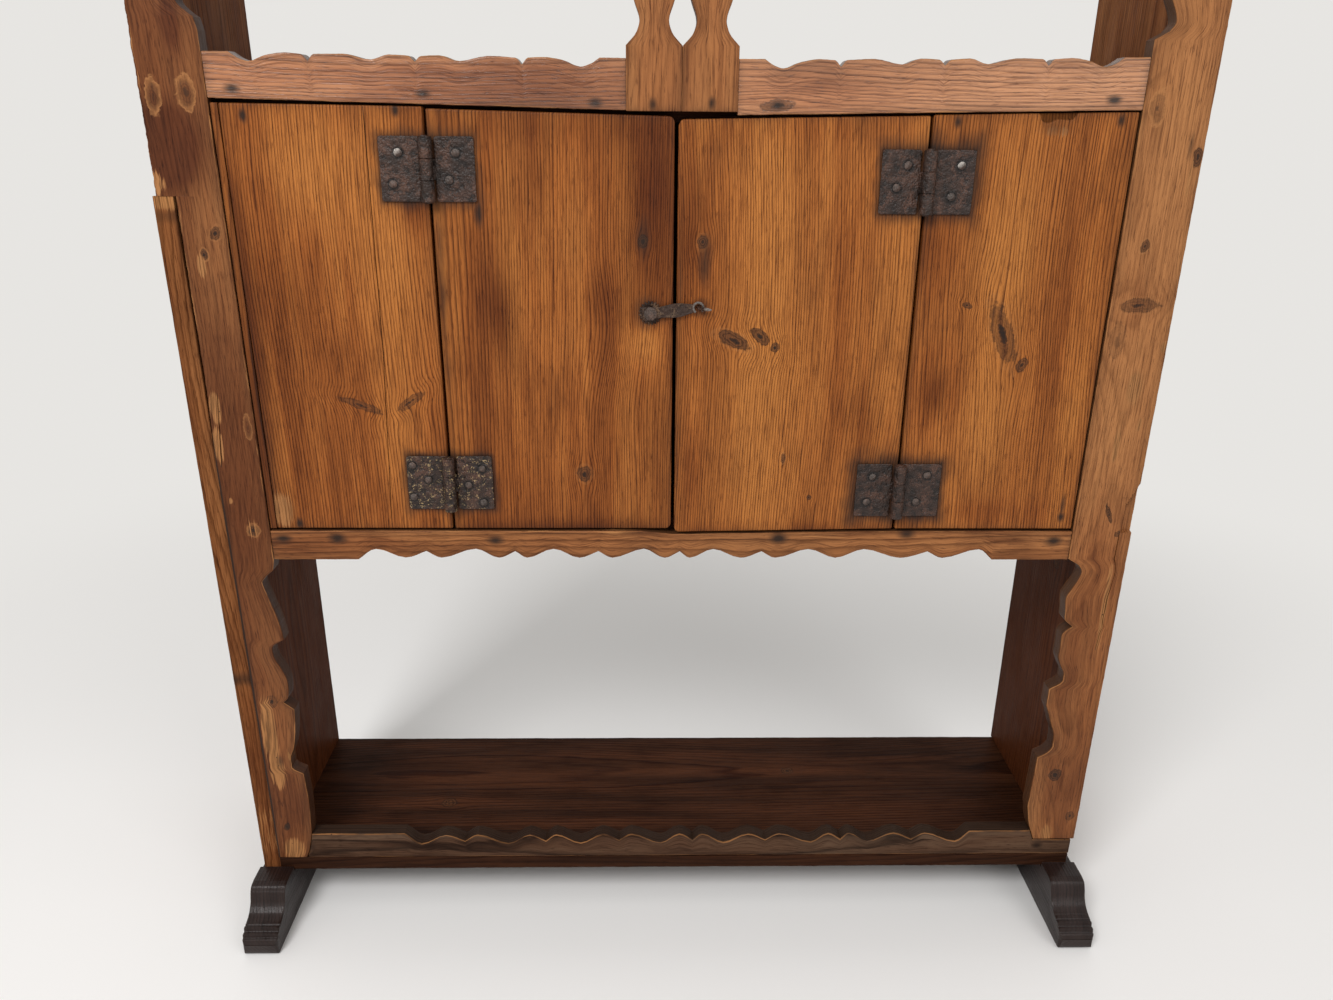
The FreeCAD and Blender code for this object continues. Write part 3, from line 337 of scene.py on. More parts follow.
def worn_board(node, axes, timber, face=-1, sides=False, ends=False, pitch=None, edge=None, end_edge=None,
               seen_back=False, shape=None, rim=None, cuts=(), soiled=0.0, rubbed=0.0, nibbled=1.0):
    """A board as a rounded section carried along its length.

    At each station the section is a rectangle with quarter-circle corners between the board's low and high
    edges (the CAD outline's crossings where sides is set). Near an end the rectangle shrinks as rounding
    says. Where ends is set, each line along the board starts and stops on the CAD outline, crossed the other
    way. The faces are hollowed by a ripple, inwards only. A split pulls the nearest lines onto itself and
    sinks the middle one. shape may move the points, with a crisp step at the places in cuts. The last three
    settings say how dark the side faces along the long edges are painted, with dirt and painted shade; how
    pale their front arrises are painted, with wear and a painted highlight; and how much the sawn edges
    waver.
    """
    wear = bpy.context.scene.cabinet_wear
    pitch = pitch or wear.coarse_pitch
    edge = wear.edge if edge is None else edge
    end_edge = edge if end_edge is None else end_edge
    low, high = box_of(node)
    along, across, depth = axes
    start, stop = low[along], high[along]
    near, far = (low[depth], high[depth]) if face < 0 else (high[depth], low[depth])
    thickness = abs(far - near)
    v_low, v_high = low[across], high[across]
    outline = face_outline(node, axes, rim or face) if sides or ends else None

    turn = 1 - np.cos(np.linspace(0, np.pi / 2, 5))
    stations = [np.linspace(start, stop, max(3, math.ceil((stop - start) / pitch) + 1))]
    stations += [start + end_edge * turn, stop - end_edge * turn]
    if sides:
        steps = outline[np.abs(outline[:, 0, 0] - outline[:, 1, 0]) < TOUCH][:, 0, 0]
        stations += [outline[..., 0].ravel(), steps - 2 * TOUCH, steps + 2 * TOUCH]
    stations += [np.array([point[0] for point in split[0]]) for split in timber.splits]
    stations += [np.array((cut - TOUCH, cut + TOUCH)) for cut in cuts]
    stations = np.unique(np.round(np.concatenate(stations), 5))
    stations = stations[(stations >= start - 1e-6) & (stations <= stop + 1e-6)]
    edge_low, edge_high = np.full(len(stations), v_low), np.full(len(stations), v_high)
    if sides:
        edge_low, edge_high = crossings(outline, np.clip(stations, start + TOUCH, stop - TOUCH))
        tall = edge_high - edge_low > 2.2 * edge
        stations, edge_low, edge_high = stations[tall], edge_low[tall], edge_high[tall]
        start, stop = stations[0], stations[-1]

    width = (edge_high - edge_low).max()
    columns = max(3, round(width / pitch))
    back_columns = columns if seen_back else max(3, columns // 3)
    side_columns, margin = max(1, round(thickness / SIDE_PITCH)), min(0.2, ARRIS_PITCH / width)
    points = section(columns, back_columns, side_columns, 3, margin)
    share_a, share_b, out_a, out_b, corner = points.T.copy()
    facing = np.where((out_b < 0) & (out_a == 0) & (share_a > 0.02) & (share_a < 0.98))[0]
    clefts = []
    for line, half_width, sink, reach in timber.splits:
        line_u, line_v = np.array(sorted(line)).T
        spot = (line_v.mean() - v_low) / width
        clefts.append((split_columns(share_a, facing, spot, half_width / width), line_u, line_v, sink, reach))

    radius = np.where(np.isin(corner, (0, 1)) | seen_back, edge, wear.back_edge)
    radius = radius * (0.75 + 0.5 * ripple(stations * 35, 0.0, timber.seed + 11))[:, None]
    radius = np.minimum(radius, thickness * 0.45)
    from_end = np.minimum(stations - start, stop - stations)
    inset = rounding(end_edge, from_end)
    inset = np.minimum(inset, np.minimum(thickness, edge_high - edge_low) * 0.42)[:, None]
    radius = np.maximum(radius - inset, 0.0001)
    nibble = NIBBLES[0] * ripple(stations * 240, 0.0, timber.seed + 13)
    nibble = nibbled * sides * (nibble + NIBBLES[1] * ripple(stations * 60, 0.0, timber.seed + 15))
    span_low = (edge_low + nibble)[:, None] + inset
    span_high = (edge_high - nibble[::-1])[:, None] - inset
    v = span_low + radius + share_a * (span_high - span_low - 2 * radius) + radius * out_a
    w = inset + radius + share_b * (thickness - 2 * inset - 2 * radius) + radius * out_b
    u = np.broadcast_to(stations[:, None], v.shape).copy()

    sunk = np.zeros_like(v)
    for column, line_u, line_v, sink, reach in clefts:
        target = np.interp(stations, line_u, line_v)[:, None]
        v = v + (target - line_v.mean()) * np.clip(1 - np.abs(v - line_v.mean()) / reach, 0, 1)
        taper = np.clip(np.minimum(stations - line_u[0], line_u[-1] - stations) / SPLIT_TAPER, 0, 1)
        within = (stations >= line_u[0] - 1e-6) & (stations <= line_u[-1] + 1e-6)
        w[:, column] += sink * taper * within
        sunk[:, column] = within

    if ends:
        crossed = np.clip(v, v_low + 3 * TOUCH, v_high - 3 * TOUCH)
        end_low, end_high = crossings(outline[:, :, ::-1], crossed[len(stations) // 2])
        fall = 0.12 * (stop - start)
        u = u + (end_low - start)[None, :] * fade(stations - start, 0, fall)[:, None]
        u = u + (end_high - stop)[None, :] * fade(stop - stations, 0, fall)[:, None]

    around = np.concatenate(([0], np.cumsum(np.hypot(np.diff(v[len(v) // 2]), np.diff(w[len(w) // 2])))))
    around = np.broadcast_to(around, v.shape)
    flat_face = (np.abs(out_a) < 0.01) | (np.abs(out_b) < 0.01)
    hollow = wear.hollow * ripple(u * 30, around * 45, timber.seed + 17) * flat_face
    w = w - out_b * hollow
    v = v - out_a * hollow
    front = np.broadcast_to(np.where(out_b < 0.3, 1.0, 0.0), v.shape)
    from_arris = np.maximum(np.minimum(v - span_low, span_high - v), np.minimum(w, thickness - w))
    edge_distance = np.clip(from_arris, 0, from_end[:, None] + 0.0005)
    if shape:
        u, v, w = shape(u, v, w)
    middle = ((start + stop) / 2, (v_low + v_high) / 2, thickness / 2)
    grain, marks, tones = grain_and_marks(u, v, w, around, front, edge_distance, middle, timber)
    marks[..., 1] = np.maximum(marks[..., 1], 0.95 * sunk)
    # Dirt with painted shade: the side faces along the long edges are painted dark.
    marks[..., 3] = np.maximum(marks[..., 3], soiled * fade(np.abs(out_b), 0.1, 0.8) * (out_a != 0))
    # Wear with a painted highlight: the front arrises are painted pale and kept clear of dirt, so the line
    # stays crisp.
    corners = (np.abs(out_a) > 0.05) & (out_b < -0.05)
    arris_wear_and_glint = rubbed * corners * (0.3 + 1.3 * ripple(u * 70, v * 20, timber.seed + 19))
    marks[..., 2] = np.maximum(marks[..., 2], arris_wear_and_glint)
    marks[..., 3] *= 1 - 0.7 * corners * min(1.0, 2 * rubbed)
    rings = np.empty(v.shape + (3,))
    rings[..., along], rings[..., across] = u, v
    rings[..., depth] = near + np.sign(far - near) * w
    return rings, grain, marks, tones


def plain_marks(rings, rust=0.0, fleck=0.0, bright=0.0):
    """Attributes for iron: grain is the point's own place, marks are rust, fleck and rubbed metal with
    painted highlights.
    """
    marks = np.zeros(rings.shape[:2] + (4,))
    marks[..., :3] = rust, fleck, bright
    return rings, rings.copy(), marks, np.zeros_like(marks)


def volume_six(points, faces):
    """Six times the volume of the cones from the origin to the faces, each face cut as a fan."""
    corner = points[faces]
    fan = np.cross(corner[:, 1:-1], corner[:, 2:])
    return np.einsum("ik,ijk->", corner[:, 0], fan)


def mesh_of(name, solids):
    """A mesh from closed solids, each a stack of rings. Quads join ring to ring and a cap shuts each end."""
    loops, starts = [], []
    base = loop_base = 0
    for rings, *_ in solids:
        count, around = rings.shape[:2]
        row = np.arange(count - 1)[:, None] * around
        column = np.arange(around)[None, :]
        after = (column + 1) % around
        quads = [row + column, row + after, row + after + around, row + column + around]
        quads = np.stack(quads, axis=-1).reshape(-1, 4)
        caps = np.stack([np.arange(around)[::-1], np.arange(around) + (count - 1) * around])
        points = rings.reshape(-1, 3) - rings[0, 0]
        if volume_six(points, quads) + volume_six(points, caps) < 0:
            quads, caps = quads[:, ::-1], caps[:, ::-1]
        loops += [quads.ravel() + base, caps.ravel() + base]
        starts += [loop_base + np.arange(len(quads)) * 4, loop_base + len(quads) * 4 + np.array([0, around])]
        base += count * around
        loop_base += len(quads) * 4 + 2 * around
    loops = np.concatenate(loops).astype(np.int32)
    starts = np.concatenate(starts).astype(np.int32)
    mesh = bpy.data.meshes.new(name)
    mesh.vertices.add(base)
    mesh.vertices.foreach_set("co", np.concatenate([s[0].reshape(-1) for s in solids]).astype(np.float32))
    mesh.loops.add(len(loops))
    mesh.loops.foreach_set("vertex_index", loops)
    mesh.polygons.add(len(starts))
    mesh.polygons.foreach_set("loop_start", starts)
    mesh.update(calc_edges=True)
    layers = (("grain", "FLOAT_VECTOR", "vector"), ("marks", "FLOAT_COLOR", "color"),
              ("tones", "FLOAT_COLOR", "color"))
    for place, (title, kind, field) in enumerate(layers, 1):
        values = np.concatenate([solid[place].reshape(-1) for solid in solids]).astype(np.float32)
        mesh.attributes.new(title, kind, "POINT").data.foreach_set(field, values)
    mesh.polygons.foreach_set("use_smooth", np.ones(len(starts), bool))
    mesh.set_sharp_from_angle(angle=math.radians(CREASE))
    return mesh


def add_piece(name, solids, finish, body, slot, *nodes):
    """Put a finished piece in the scene, on its body, instead of the CAD nodes that it stands for."""
    mesh = mesh_of(name, solids)
    mesh.materials.append(material(finish))
    piece = bpy.data.objects.new(name, mesh)
    bpy.context.scene.collection.objects.link(piece)
    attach(piece, body)
    if nodes:
        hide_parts(*nodes)


def add_board(name, node, axes, timber, finish, slot="frame_pine", body="carcass", **way):
    """Dress one CAD board as a worn board."""
    add_piece(name, [worn_board(node, axes, timber, **way)], finish, body, slot, node)


class Nodes:
    """Short names for the shader nodes of a material or a world."""

    def __init__(self, owner):
        owner.use_nodes = True
        self.owner = owner
        self.tree = owner.node_tree
        self.shader = self.tree.nodes.get("Principled BSDF")

    def link(self, source, target):
        """Link a socket to the target, or set the target's own value."""
        if isinstance(source, bpy.types.NodeSocket):
            self.tree.links.new(source, target)
        else:
            target.default_value = source

    def finish(self, **values):
        """Link or set the shader's own sockets, named with _ for a space."""
        for name, value in values.items():
            self.link(value, self.shader.inputs[name.replace("_", " ")])

    def node(self, kind, inputs=(), **settings):
        """A new node. inputs pairs its sockets with values or with the outputs of other nodes."""
        node = self.tree.nodes.new("ShaderNode" + kind)
        for name, value in settings.items():
            setattr(node, name, value)
        for socket, value in dict(inputs).items():
            self.link(value, node.inputs[socket])
        return node

    def attribute(self, name, output="Vector"):
        return self.node("Attribute", attribute_name=name).outputs[output]

    def parts(self, vector):
        return self.node("SeparateXYZ", {0: vector}).outputs

    def math(self, operation, a, b=0.0):
        return self.node("Math", {0: a, 1: b}, operation=operation).outputs[0]

    def times(self, a, b):
        return self.math("MULTIPLY", a, b)

    def plus(self, a, b):
        return self.math("ADD", a, b)

    def place(self):
        return self.node("TexCoord").outputs["Object"]

    def noise(self, vector, scale, detail, roughness=0.55):
        inputs = {"Vector": vector, "Scale": scale, "Detail": detail, "Roughness": roughness}
        return self.node("TexNoise", inputs).outputs["Fac"]

    def pits(self, vector, scale):
        return self.node("TexVoronoi", {"Vector": vector, "Scale": scale}).outputs["Distance"]

    def chance(self, value):
        return self.node("TexWhiteNoise", {"W": value}, noise_dimensions="1D").outputs["Value"]

    def range(self, value, low, high, to_low=0.0, to_high=1.0, step="LINEAR"):
        inputs = {0: value, 1: low, 2: high, 3: to_low, 4: to_high}
        return self.node("MapRange", inputs, interpolation_type=step).outputs[0]

    def ramp(self, value, *stops):
        node = self.node("ValToRGB", {0: value})
        points = node.color_ramp.elements
        while len(points) < len(stops):
            points.new(0.5)
        for point, (place, level) in zip(points, stops):
            point.position = place
            point.color = (level, level, level, 1.0)
        return node.outputs[0]

    def mix(self, amount, first, second, blend="MIX"):
        first, second = (value if isinstance(value, bpy.types.NodeSocket) else (*value, 1.0)
                         for value in (first, second))
        inputs = {0: amount, 6: first, 7: second}
        return self.node("Mix", inputs, data_type="RGBA", blend_type=blend).outputs[2]

    def bump(self, height, distance, strength, normal=None):
        inputs = {"Height": height, "Distance": distance, "Strength": strength}
        if normal:
            inputs["Normal"] = normal
        return self.node("Bump", inputs).outputs[0]

    def seen_rays(self):
        """1 for rays that come straight from the camera, off something glossy or through something clear."""
        path = self.node("LightPath").outputs
        rays = self.math("MAXIMUM", path["Is Camera Ray"], path["Is Glossy Ray"])
        return self.math("MAXIMUM", rays, path["Is Transmission Ray"])

    def show(self, output, amount, shader, glow, tone):
        """Send to the output a shader mixed with an even glow of one colour at strength 1."""
        even = self.node(glow, {"Color": (*tone, 1.0)}).outputs[0]
        mixed = self.node("MixShader", {0: amount, 1: shader, 2: even}).outputs[0]
        self.link(mixed, self.tree.nodes[output].inputs["Surface"])


def scaled(tone, *gains):
    """A colour with each part times its gain, or all parts times the one gain, and no part over 1."""
    return [min(1.0, gain * part) for gain, part in zip(gains * 3 if len(gains) == 1 else gains, tone)]


def wood(name, early, late, worn, sheen, fresh):
    """Waxed old pine. Each growth ring goes slowly from soft to hard wood and stops sharply.

    The ring count, the place along the grain and the place around the board come from the piece's own
    attribute. Noise stretched along the grain makes lighter and darker bands, fibres and pores. A knot is
    its cone value cut off at a level that noise makes uneven, with rings of its own and a dark rim. Bare
    spots are cut off the same way by the fibres, and iron stains and dirt lie over all. The palest wood is
    early times fresh.
    """
    looks = bpy.context.scene.cabinet_wood
    n = Nodes(bpy.data.materials.new(name))
    rings, along, around = n.parts(n.attribute("grain"))
    knot, stain, pale = n.parts(n.attribute("marks", "Color"))
    # The marks' alpha is dirt, and on the side faces along the long edges painted shade as well.
    dirt = n.attribute("marks", "Alpha")
    shade, knot_depth, halo = n.parts(n.attribute("tones", "Color"))
    lines = n.attribute("tones", "Alpha")

    def streaks(per_metre_along, per_metre_around, detail, shift):
        inputs = {0: n.times(along, per_metre_along), 1: n.times(around, per_metre_around), 2: shift}
        return n.noise(n.node("CombineXYZ", inputs).outputs[0], 1.0, detail, 0.6)

    fibre = streaks(15.0, 560.0, 4.0, 0.0)
    pore = streaks(55.0, 800.0, 3.0, 9.0)
    band = streaks(2.4, 30.0, 3.0, 0.3)
    cloud = streaks(8.0, 24.0, 4.0, 5.0)
    waver = streaks(5.0, 50.0, 1.5, 3.0)
    rough = n.noise(n.place(), 120.0, 4.0, 0.65)

    count = n.plus(rings, n.range(waver, 0.3, 0.7, -0.20, 0.20))
    count = n.plus(count, n.range(fibre, 0.3, 0.7, -0.10, 0.10))
    strong = n.range(n.chance(n.math("FLOOR", count)), 0.0, 1.0, 0.65, 1.15)
    profile = ((0.0, 0.0), (0.45, 0.0), (0.70, 0.45), (0.84, 1.0), (0.93, 0.6), (1.0, 0.0))
    hard = n.times(n.times(n.ramp(n.math("FRACT", count), *profile), strong), lines)

    lighter, darker = scaled(early, *fresh), scaled(early, 0.34, 0.27, 0.28)
    tone = n.mix(n.range(band, 0.45, 0.70, 0.0, 0.75), early, lighter)
    tone = n.mix(n.range(band, 0.50, 0.28, 0.0, 0.60), tone, darker)
    tone = n.mix(n.range(cloud, 0.52, 0.74, 0.0, 0.55), tone, darker)
    tone = n.mix(n.range(shade, 0.5, 0.0), tone, lighter)
    tone = n.mix(n.range(shade, 0.5, 1.0), tone, darker)
    tone = n.mix(hard, tone, [dark / light for dark, light in zip(late, early)], "MULTIPLY")
    tone = n.mix(n.range(fibre, 0.32, 0.54, 0.85, 0.0), tone, (0.38, 0.31, 0.30), "MULTIPLY")
    tone = n.mix(n.range(pore, 0.57, 0.68, 0.0, 0.75), tone, (0.32, 0.25, 0.25), "MULTIPLY")
    # Dirt, and the painted shade on side faces along the long edges.
    tone = n.mix(dirt, tone, looks.patina)

    level = n.plus(knot, n.range(rough, 0.3, 0.7, -0.15, 0.15))
    body = n.times(n.range(level, 0.28, 0.42), knot_depth)
    whorl = n.ramp(n.math("FRACT", n.times(level, 4.5)), (0.0, 0.1), (0.35, 0.15), (0.65, 1.0), (0.82, 1.0),
                   (1.0, 0.1))
    inner = n.mix(n.range(fibre, 0.36, 0.50, 0.75, 0.0), n.mix(whorl, looks.knot, looks.patina), looks.stain)
    tone = n.mix(n.times(body, 0.95), tone, inner)
    rim = n.ramp(level, (0.0, 0.0), (0.24, 0.0), (0.36, 1.0), (0.42, 0.7), (0.54, 0.0))
    rim = n.times(rim, n.range(fibre, 0.35, 0.60, 1.0, 0.25))
    tone = n.mix(n.times(rim, knot_depth), tone, looks.patina)
    tone = n.mix(n.times(n.range(level, 0.74, 0.90), n.range(knot_depth, 0.1, 0.5)), tone, looks.stain)
    ring = n.ramp(level, (0.0, 0.0), (0.04, 0.0), (0.13, 0.85), (0.22, 0.45), (0.40, 0.22), (0.60, 0.0))
    tone = n.mix(n.times(ring, halo), tone, looks.pale)

    # Bare spots, and the painted highlight along front arrises.
    bare = n.range(n.plus(pale, n.range(fibre, 0.3, 0.7, -0.34, 0.34)), 0.40, 0.66, 0.0, worn)
    tone = n.mix(bare, tone, n.mix(n.range(fibre, 0.58, 0.42), looks.pale, scaled(looks.pale, 0.42)))
    worm_hole = n.times(n.range(n.pits(n.place(), 85.0), 0.10, 0.07), n.range(pale, 0.72, 0.80))
    tone = n.mix(worm_hole, tone, looks.stain)
    broken = n.plus(n.range(cloud, 0.3, 0.7, -0.20, 0.20), n.range(fibre, 0.3, 0.7, -0.16, 0.16))
    tone = n.mix(n.range(n.plus(stain, broken), 0.14, 0.90, 0.0, 0.97), tone, looks.stain)

    smooth = looks.gloss - 0.9 * max(0.0, sheen)
    gloss = n.plus(n.range(cloud, 0.3, 0.7, smooth - 0.06, smooth + 0.12), n.times(bare, 0.2))
    relief = n.math("SUBTRACT", n.plus(n.times(hard, 0.45), fibre), n.times(rim, 0.6))
    relief = n.math("SUBTRACT", relief, n.range(pore, 0.60, 0.72, 0.0, 0.5))
    grooved = n.bump(relief, 0.0006, 0.7)
    n.finish(Base_Color=tone, Roughness=gloss, Normal=grooved, Specular_IOR_Level=0.12 + sheen)
    return n.owner


def iron(name, crusted, shine):
    """Forged iron: hammer marks and pits as relief, rust in broad clouds, pale crust in some of the pits."""
    looks = bpy.context.scene.cabinet_iron
    n = Nodes(bpy.data.materials.new(name))
    place = n.place()
    rust, fleck, bright = n.parts(n.attribute("marks", "Color"))
    cloud = n.noise(place, 60.0, 4.0, 0.62)
    grit = n.noise(place, 520.0, 3.0, 0.62)
    hammered = n.noise(place, 130.0, 2.0, 0.5)
    pit = n.pits(place, 300.0)
    grain = n.times(grit, cloud)
    tone = n.mix(n.range(cloud, 0.40, 0.66, 0.0, 0.75), looks.iron, looks.rust)
    tone = n.mix(n.range(hammered, 0.50, 0.38, 0.0, 0.75), tone, scaled(looks.iron, 0.3))
    tone = n.mix(n.range(grain, 0.28, 0.34, 0.0, 0.35), tone, scaled(looks.rust, 2.4))
    tone = n.mix(n.times(rust, 0.8), tone, looks.rust)
    crust = n.range(n.noise(place, 150.0, 2.0, 0.5), 0.52, 0.58, 0.0, crusted)
    crust = n.times(n.range(grit, 0.53, 0.60), crust)
    crust = n.math("MAXIMUM", crust, n.times(fleck, n.range(grain, 0.25, 0.31)))
    tone = n.mix(crust, tone, looks.fleck)
    # Rubbed metal, and painted highlights such as the glints on nail heads.
    tone = n.mix(n.times(bright, n.range(grit, 0.3, 0.55, 0.4, 1.0)), tone, looks.bright)
    # Painted shadow round the nail heads, carried in the marks' alpha.
    tone = n.mix(n.attribute("marks", "Alpha"), tone, scaled(looks.iron, 0.15))
    gloss = n.range(grit, 0.35, 0.65, looks.roughness - 0.12, looks.roughness + 0.20)
    hammer = n.bump(hammered, 0.0040, 0.7)
    relief = n.bump(n.math("SUBTRACT", grit, pit), 0.0010, 0.8, hammer)
    n.finish(Base_Color=tone, Roughness=gloss, Normal=relief, Specular_IOR_Level=shine)
    return n.owner


# How strongly bare spots show on each wood, and how far its sheen lies from plain wax.
FINISHES = {"dark_pine": (0.5, -0.09), "foot_wood": (0.3, 0.14), "rail_pine": (1.0, 0.22),
            "lip_pine": (0.7, -0.09), "frame_matt": (1.0, -0.10)}
FRESH, FRESH_DARK = (1.34, 1.60, 1.75), (1.9, 1.8, 1.7)  # the palest wood against the early wood
# How much pale crust and how much shine each iron has.
IRONS = {"iron": (0.0, 0.34), "crusted_iron": (0.7, 0.34), "latch_iron": (0.0, 0.14)}


def material(name):
    """The cabinet's materials, made when they are first asked for."""
    finish = name + "_finish"
    if finish in bpy.data.materials:
        return bpy.data.materials[finish]
    if name in IRONS:
        return iron(finish, *IRONS[name])
    looks = bpy.context.scene.cabinet_wood
    kind = name.split("_")[0]
    early, late = getattr(looks, kind + "_early"), getattr(looks, kind + "_late")
    return wood(finish, early, late, *FINISHES.get(name, (1.0, 0.0)), FRESH_DARK if kind == "dark" else FRESH)


def turned(base, axis, profile, facets, roundness, turn=0.0):
    """A profile carried round an axis: each (distance, radius) gives one ring of facet corners.

    roundness multiplies the radius at each corner, so a head can be faceted, toothed or uneven.
    """
    axis = np.array(axis, float) / np.linalg.norm(axis)
    side = np.cross(axis, (0.0, 0.0, 1.0) if abs(axis[2]) < 0.9 else (1.0, 0.0, 0.0))
    side /= np.linalg.norm(side)
    angle = np.arange(facets) * 2 * np.pi / facets + turn
    spoke = np.cos(angle)[:, None] * side + np.sin(angle)[:, None] * np.cross(axis, side)
    spoke = spoke * np.reshape(roundness, (-1, 1))
    profile = np.array(profile, float)
    return np.array(base) + profile[:, :1, None] * axis + profile[:, 1:, None] * spoke[None]


def swept(path, radius, facets, up):
    """A tube along a path: at each point a ring square to the path's direction, with its own radius."""
    path = np.array(path, float)
    heading = np.gradient(path, axis=0)
    heading /= np.linalg.norm(heading, axis=1, keepdims=True)
    side = np.cross(heading, up)
    side /= np.linalg.norm(side, axis=1, keepdims=True)
    other = np.cross(side, heading)
    angle = (np.arange(facets) + 0.5) * 2 * np.pi / facets
    spoke = np.cos(angle)[None, :, None] * side[:, None] + np.sin(angle)[None, :, None] * other[:, None]
    return path[:, None] + spoke * np.reshape(np.broadcast_to(radius, len(path)), (-1, 1, 1))


def forged_plate(u_span, v_low, v_high, near, far, axes, seed, corner=0.003, uneven=0.0008):
    """A hammered plate: a rounded section carried along it, with wavering edges and dents in its front.

    v_low and v_high are the edges at both ends and between, read at even steps. The corners are cut as
    rounding says. Dents and wavering only take away.
    """
    pitch, edge = 0.0012, 0.0006
    start, stop = u_span
    stations = np.linspace(start, stop, max(4, round((stop - start) / pitch)))
    extra = corner * (1 - np.cos(np.linspace(0, np.pi / 2, 4)))
    stations = np.unique(np.round(np.concatenate((stations, start + extra, stop - extra)), 6))
    share_along = (stations - start) / (stop - start)
    low = np.interp(share_along, np.linspace(0, 1, np.size(v_low)), np.ravel(v_low))
    high = np.interp(share_along, np.linspace(0, 1, np.size(v_high)), np.ravel(v_high))
    low = low + uneven * ripple(stations * 210, 0.0, seed)
    high = high - uneven * ripple(stations * 190, 1.0, seed + 1)
    from_end = np.minimum(stations - start, stop - stations)
    cut = np.minimum(rounding(corner, from_end), (high - low) * 0.35)[:, None]
    thickness = abs(far - near)
    width = (high - low).max()
    points = section(max(4, round(width / pitch)), 3, 1, 2, min(0.1, 0.5 * edge / width))
    share_a, share_b, out_a, out_b, _ = points.T
    span_low, span_high = low[:, None] + cut, high[:, None] - cut
    v = span_low + edge + share_a * (span_high - span_low - 2 * edge) + edge * out_a
    inset = np.minimum(np.maximum(0, edge - from_end)[:, None], thickness * 0.3)
    w = inset + edge + share_b * (thickness - 2 * inset - 2 * edge) + edge * out_b
    u = np.broadcast_to(stations[:, None], v.shape)
    dents = ripple(u * 420, v * 420, seed + 2) * 0.6 + ripple(u * 900, v * 900, seed + 3) * 0.4
    w = w + dents * thickness * 0.26 * (out_b < -0.5)
    rings = np.empty(v.shape + (3,))
    rings[..., axes[0]], rings[..., axes[1]] = u, v
    rings[..., axes[2]] = near + (1 if far > near else -1) * w
    return rings


def nail_head(place, out, radius, height, seed, facets):
    """A hammered head: a low dome of flats whose corners lie unevenly around it."""
    chance = np.random.default_rng(seed)
    roundness = chance.uniform(0.86, 1.0, facets)
    profile = ((-0.25 * height, radius), (0.25 * height, radius), (0.62 * height, radius * 0.80),
               (height, radius * 0.36))
    return turned(place, out, profile, facets, roundness, chance.uniform(0, np.pi))


def turned_about(rings, centre, degrees):
    """The rings turned about a line through the centre along Y."""
    angle = math.radians(degrees)
    moved = rings - centre
    x = moved[..., 0] * math.cos(angle) - moved[..., 2] * math.sin(angle)
    z = moved[..., 0] * math.sin(angle) + moved[..., 2] * math.cos(angle)
    return np.stack([x, moved[..., 1], z], axis=-1) + centre


def box_of(node):
    """The lowest and highest corner of a CAD node, as arrays."""
    return [np.array(corner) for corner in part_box(node)]


def nail_places(node):
    """X and Z of each nail in a CAD node: the middles of the groups that its vertices form."""
    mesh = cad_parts[node].data
    places = np.empty(len(mesh.vertices) * 3)
    mesh.vertices.foreach_get("co", places)
    flat = places.reshape(-1, 3)[:, [0, 2]]
    found = []
    while len(flat):
        near = np.hypot(*(flat - flat[0]).T) < NAIL_SPREAD
        found.append((flat[near].min(axis=0) + flat[near].max(axis=0)) / 2)
        flat = flat[~near]
    return found


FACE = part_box("left_stile")[0].y   # plane of the front boards
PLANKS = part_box("left_door")[0].y  # plane of the doors and panels
NOTCH = 1.027                      # above this height the left stile laps over its side's front edge

# X and Z of the nails that hold boards to boards.
RAIL_NAILS = ((-0.493, 1.141), (-0.284, 1.138), (-0.094, 1.131), (-0.030, 1.129), (0.036, 1.131),
              (0.109, 1.129), (0.487, 1.138))
PANEL_NAILS = ((-0.486, 1.114), (-0.317, 1.121), (-0.482, 0.624), (0.314, 1.114), (0.499, 1.117),
               (0.503, 0.634))
APRON_NAILS = ((-0.505, 0.603), (-0.436, 0.604), (-0.232, 0.602), (0.136, 0.604), (0.303, 0.611),
               (0.498, 0.601))
BOARD_NAIL = (0.0033, 0.0004)  # radius and height of their heads
BOARD_NAIL_SUNK = 0.0007       # how far the heads are driven in
BARE_GLINTING_NAILS = (0, 7)            # the two whose heads are painted bright: rubbed metal with a painted highlight

# The wedge that has broken out of the right stile: its lowest and highest place, the place of its inner edge,
# how far this edge leans outwards above the middle, and how deep the wedge is sunk.
SPLINTER = (0.613, 0.686)
SPLINTER_EDGE, SPLINTER_LEAN, SPLINTER_SUNK = 0.585, 0.016, 0.0065
BEAD_REACHES = (0.0065, 0.0131, 0.0197)  # from the toe's tip back to the grooves beside its two beads
BEAD_STEPS = (-1.6, -0.8, 0.0, 0.8, 1.6)  # rings of the mesh across a groove, in half widths

LEAF = 0.003             # thickness of a hinge leaf
KNUCKLE_ROOM = 0.0088    # from the pin's middle to the near edge of a leaf
KNUCKLE_GAP = 0.0002     # from a knuckle to its third of the hinge's height
KNUCKLE_BEVEL = 0.0007
KNUCKLE_FACETS, PIN_FACETS = 28, 12
KNUCKLE_CLEAR = 0.0003   # from a knuckle to the plane of the boards
HINGE_NAIL = (0.0050, 0.0020)  # radius and height of the head
NAIL_SHADOW = 0.0088     # the plate is dark round a nail out to this distance
NAIL_SPREAD = 0.0095     # CAD corners closer than this belong to one nail
WORN_GLINTING_NAILS = ((-0.3166, 1.0763), (0.3228, 1.0670))  # X and Z of the two rubbed bright, with a strong painted highlight on their heads
HINGE_NAILS = {"hinge_nails_panels": "carcass", "hinge_nails_left_door": "left_door",
               "hinge_nails_right_door": "right_door"}

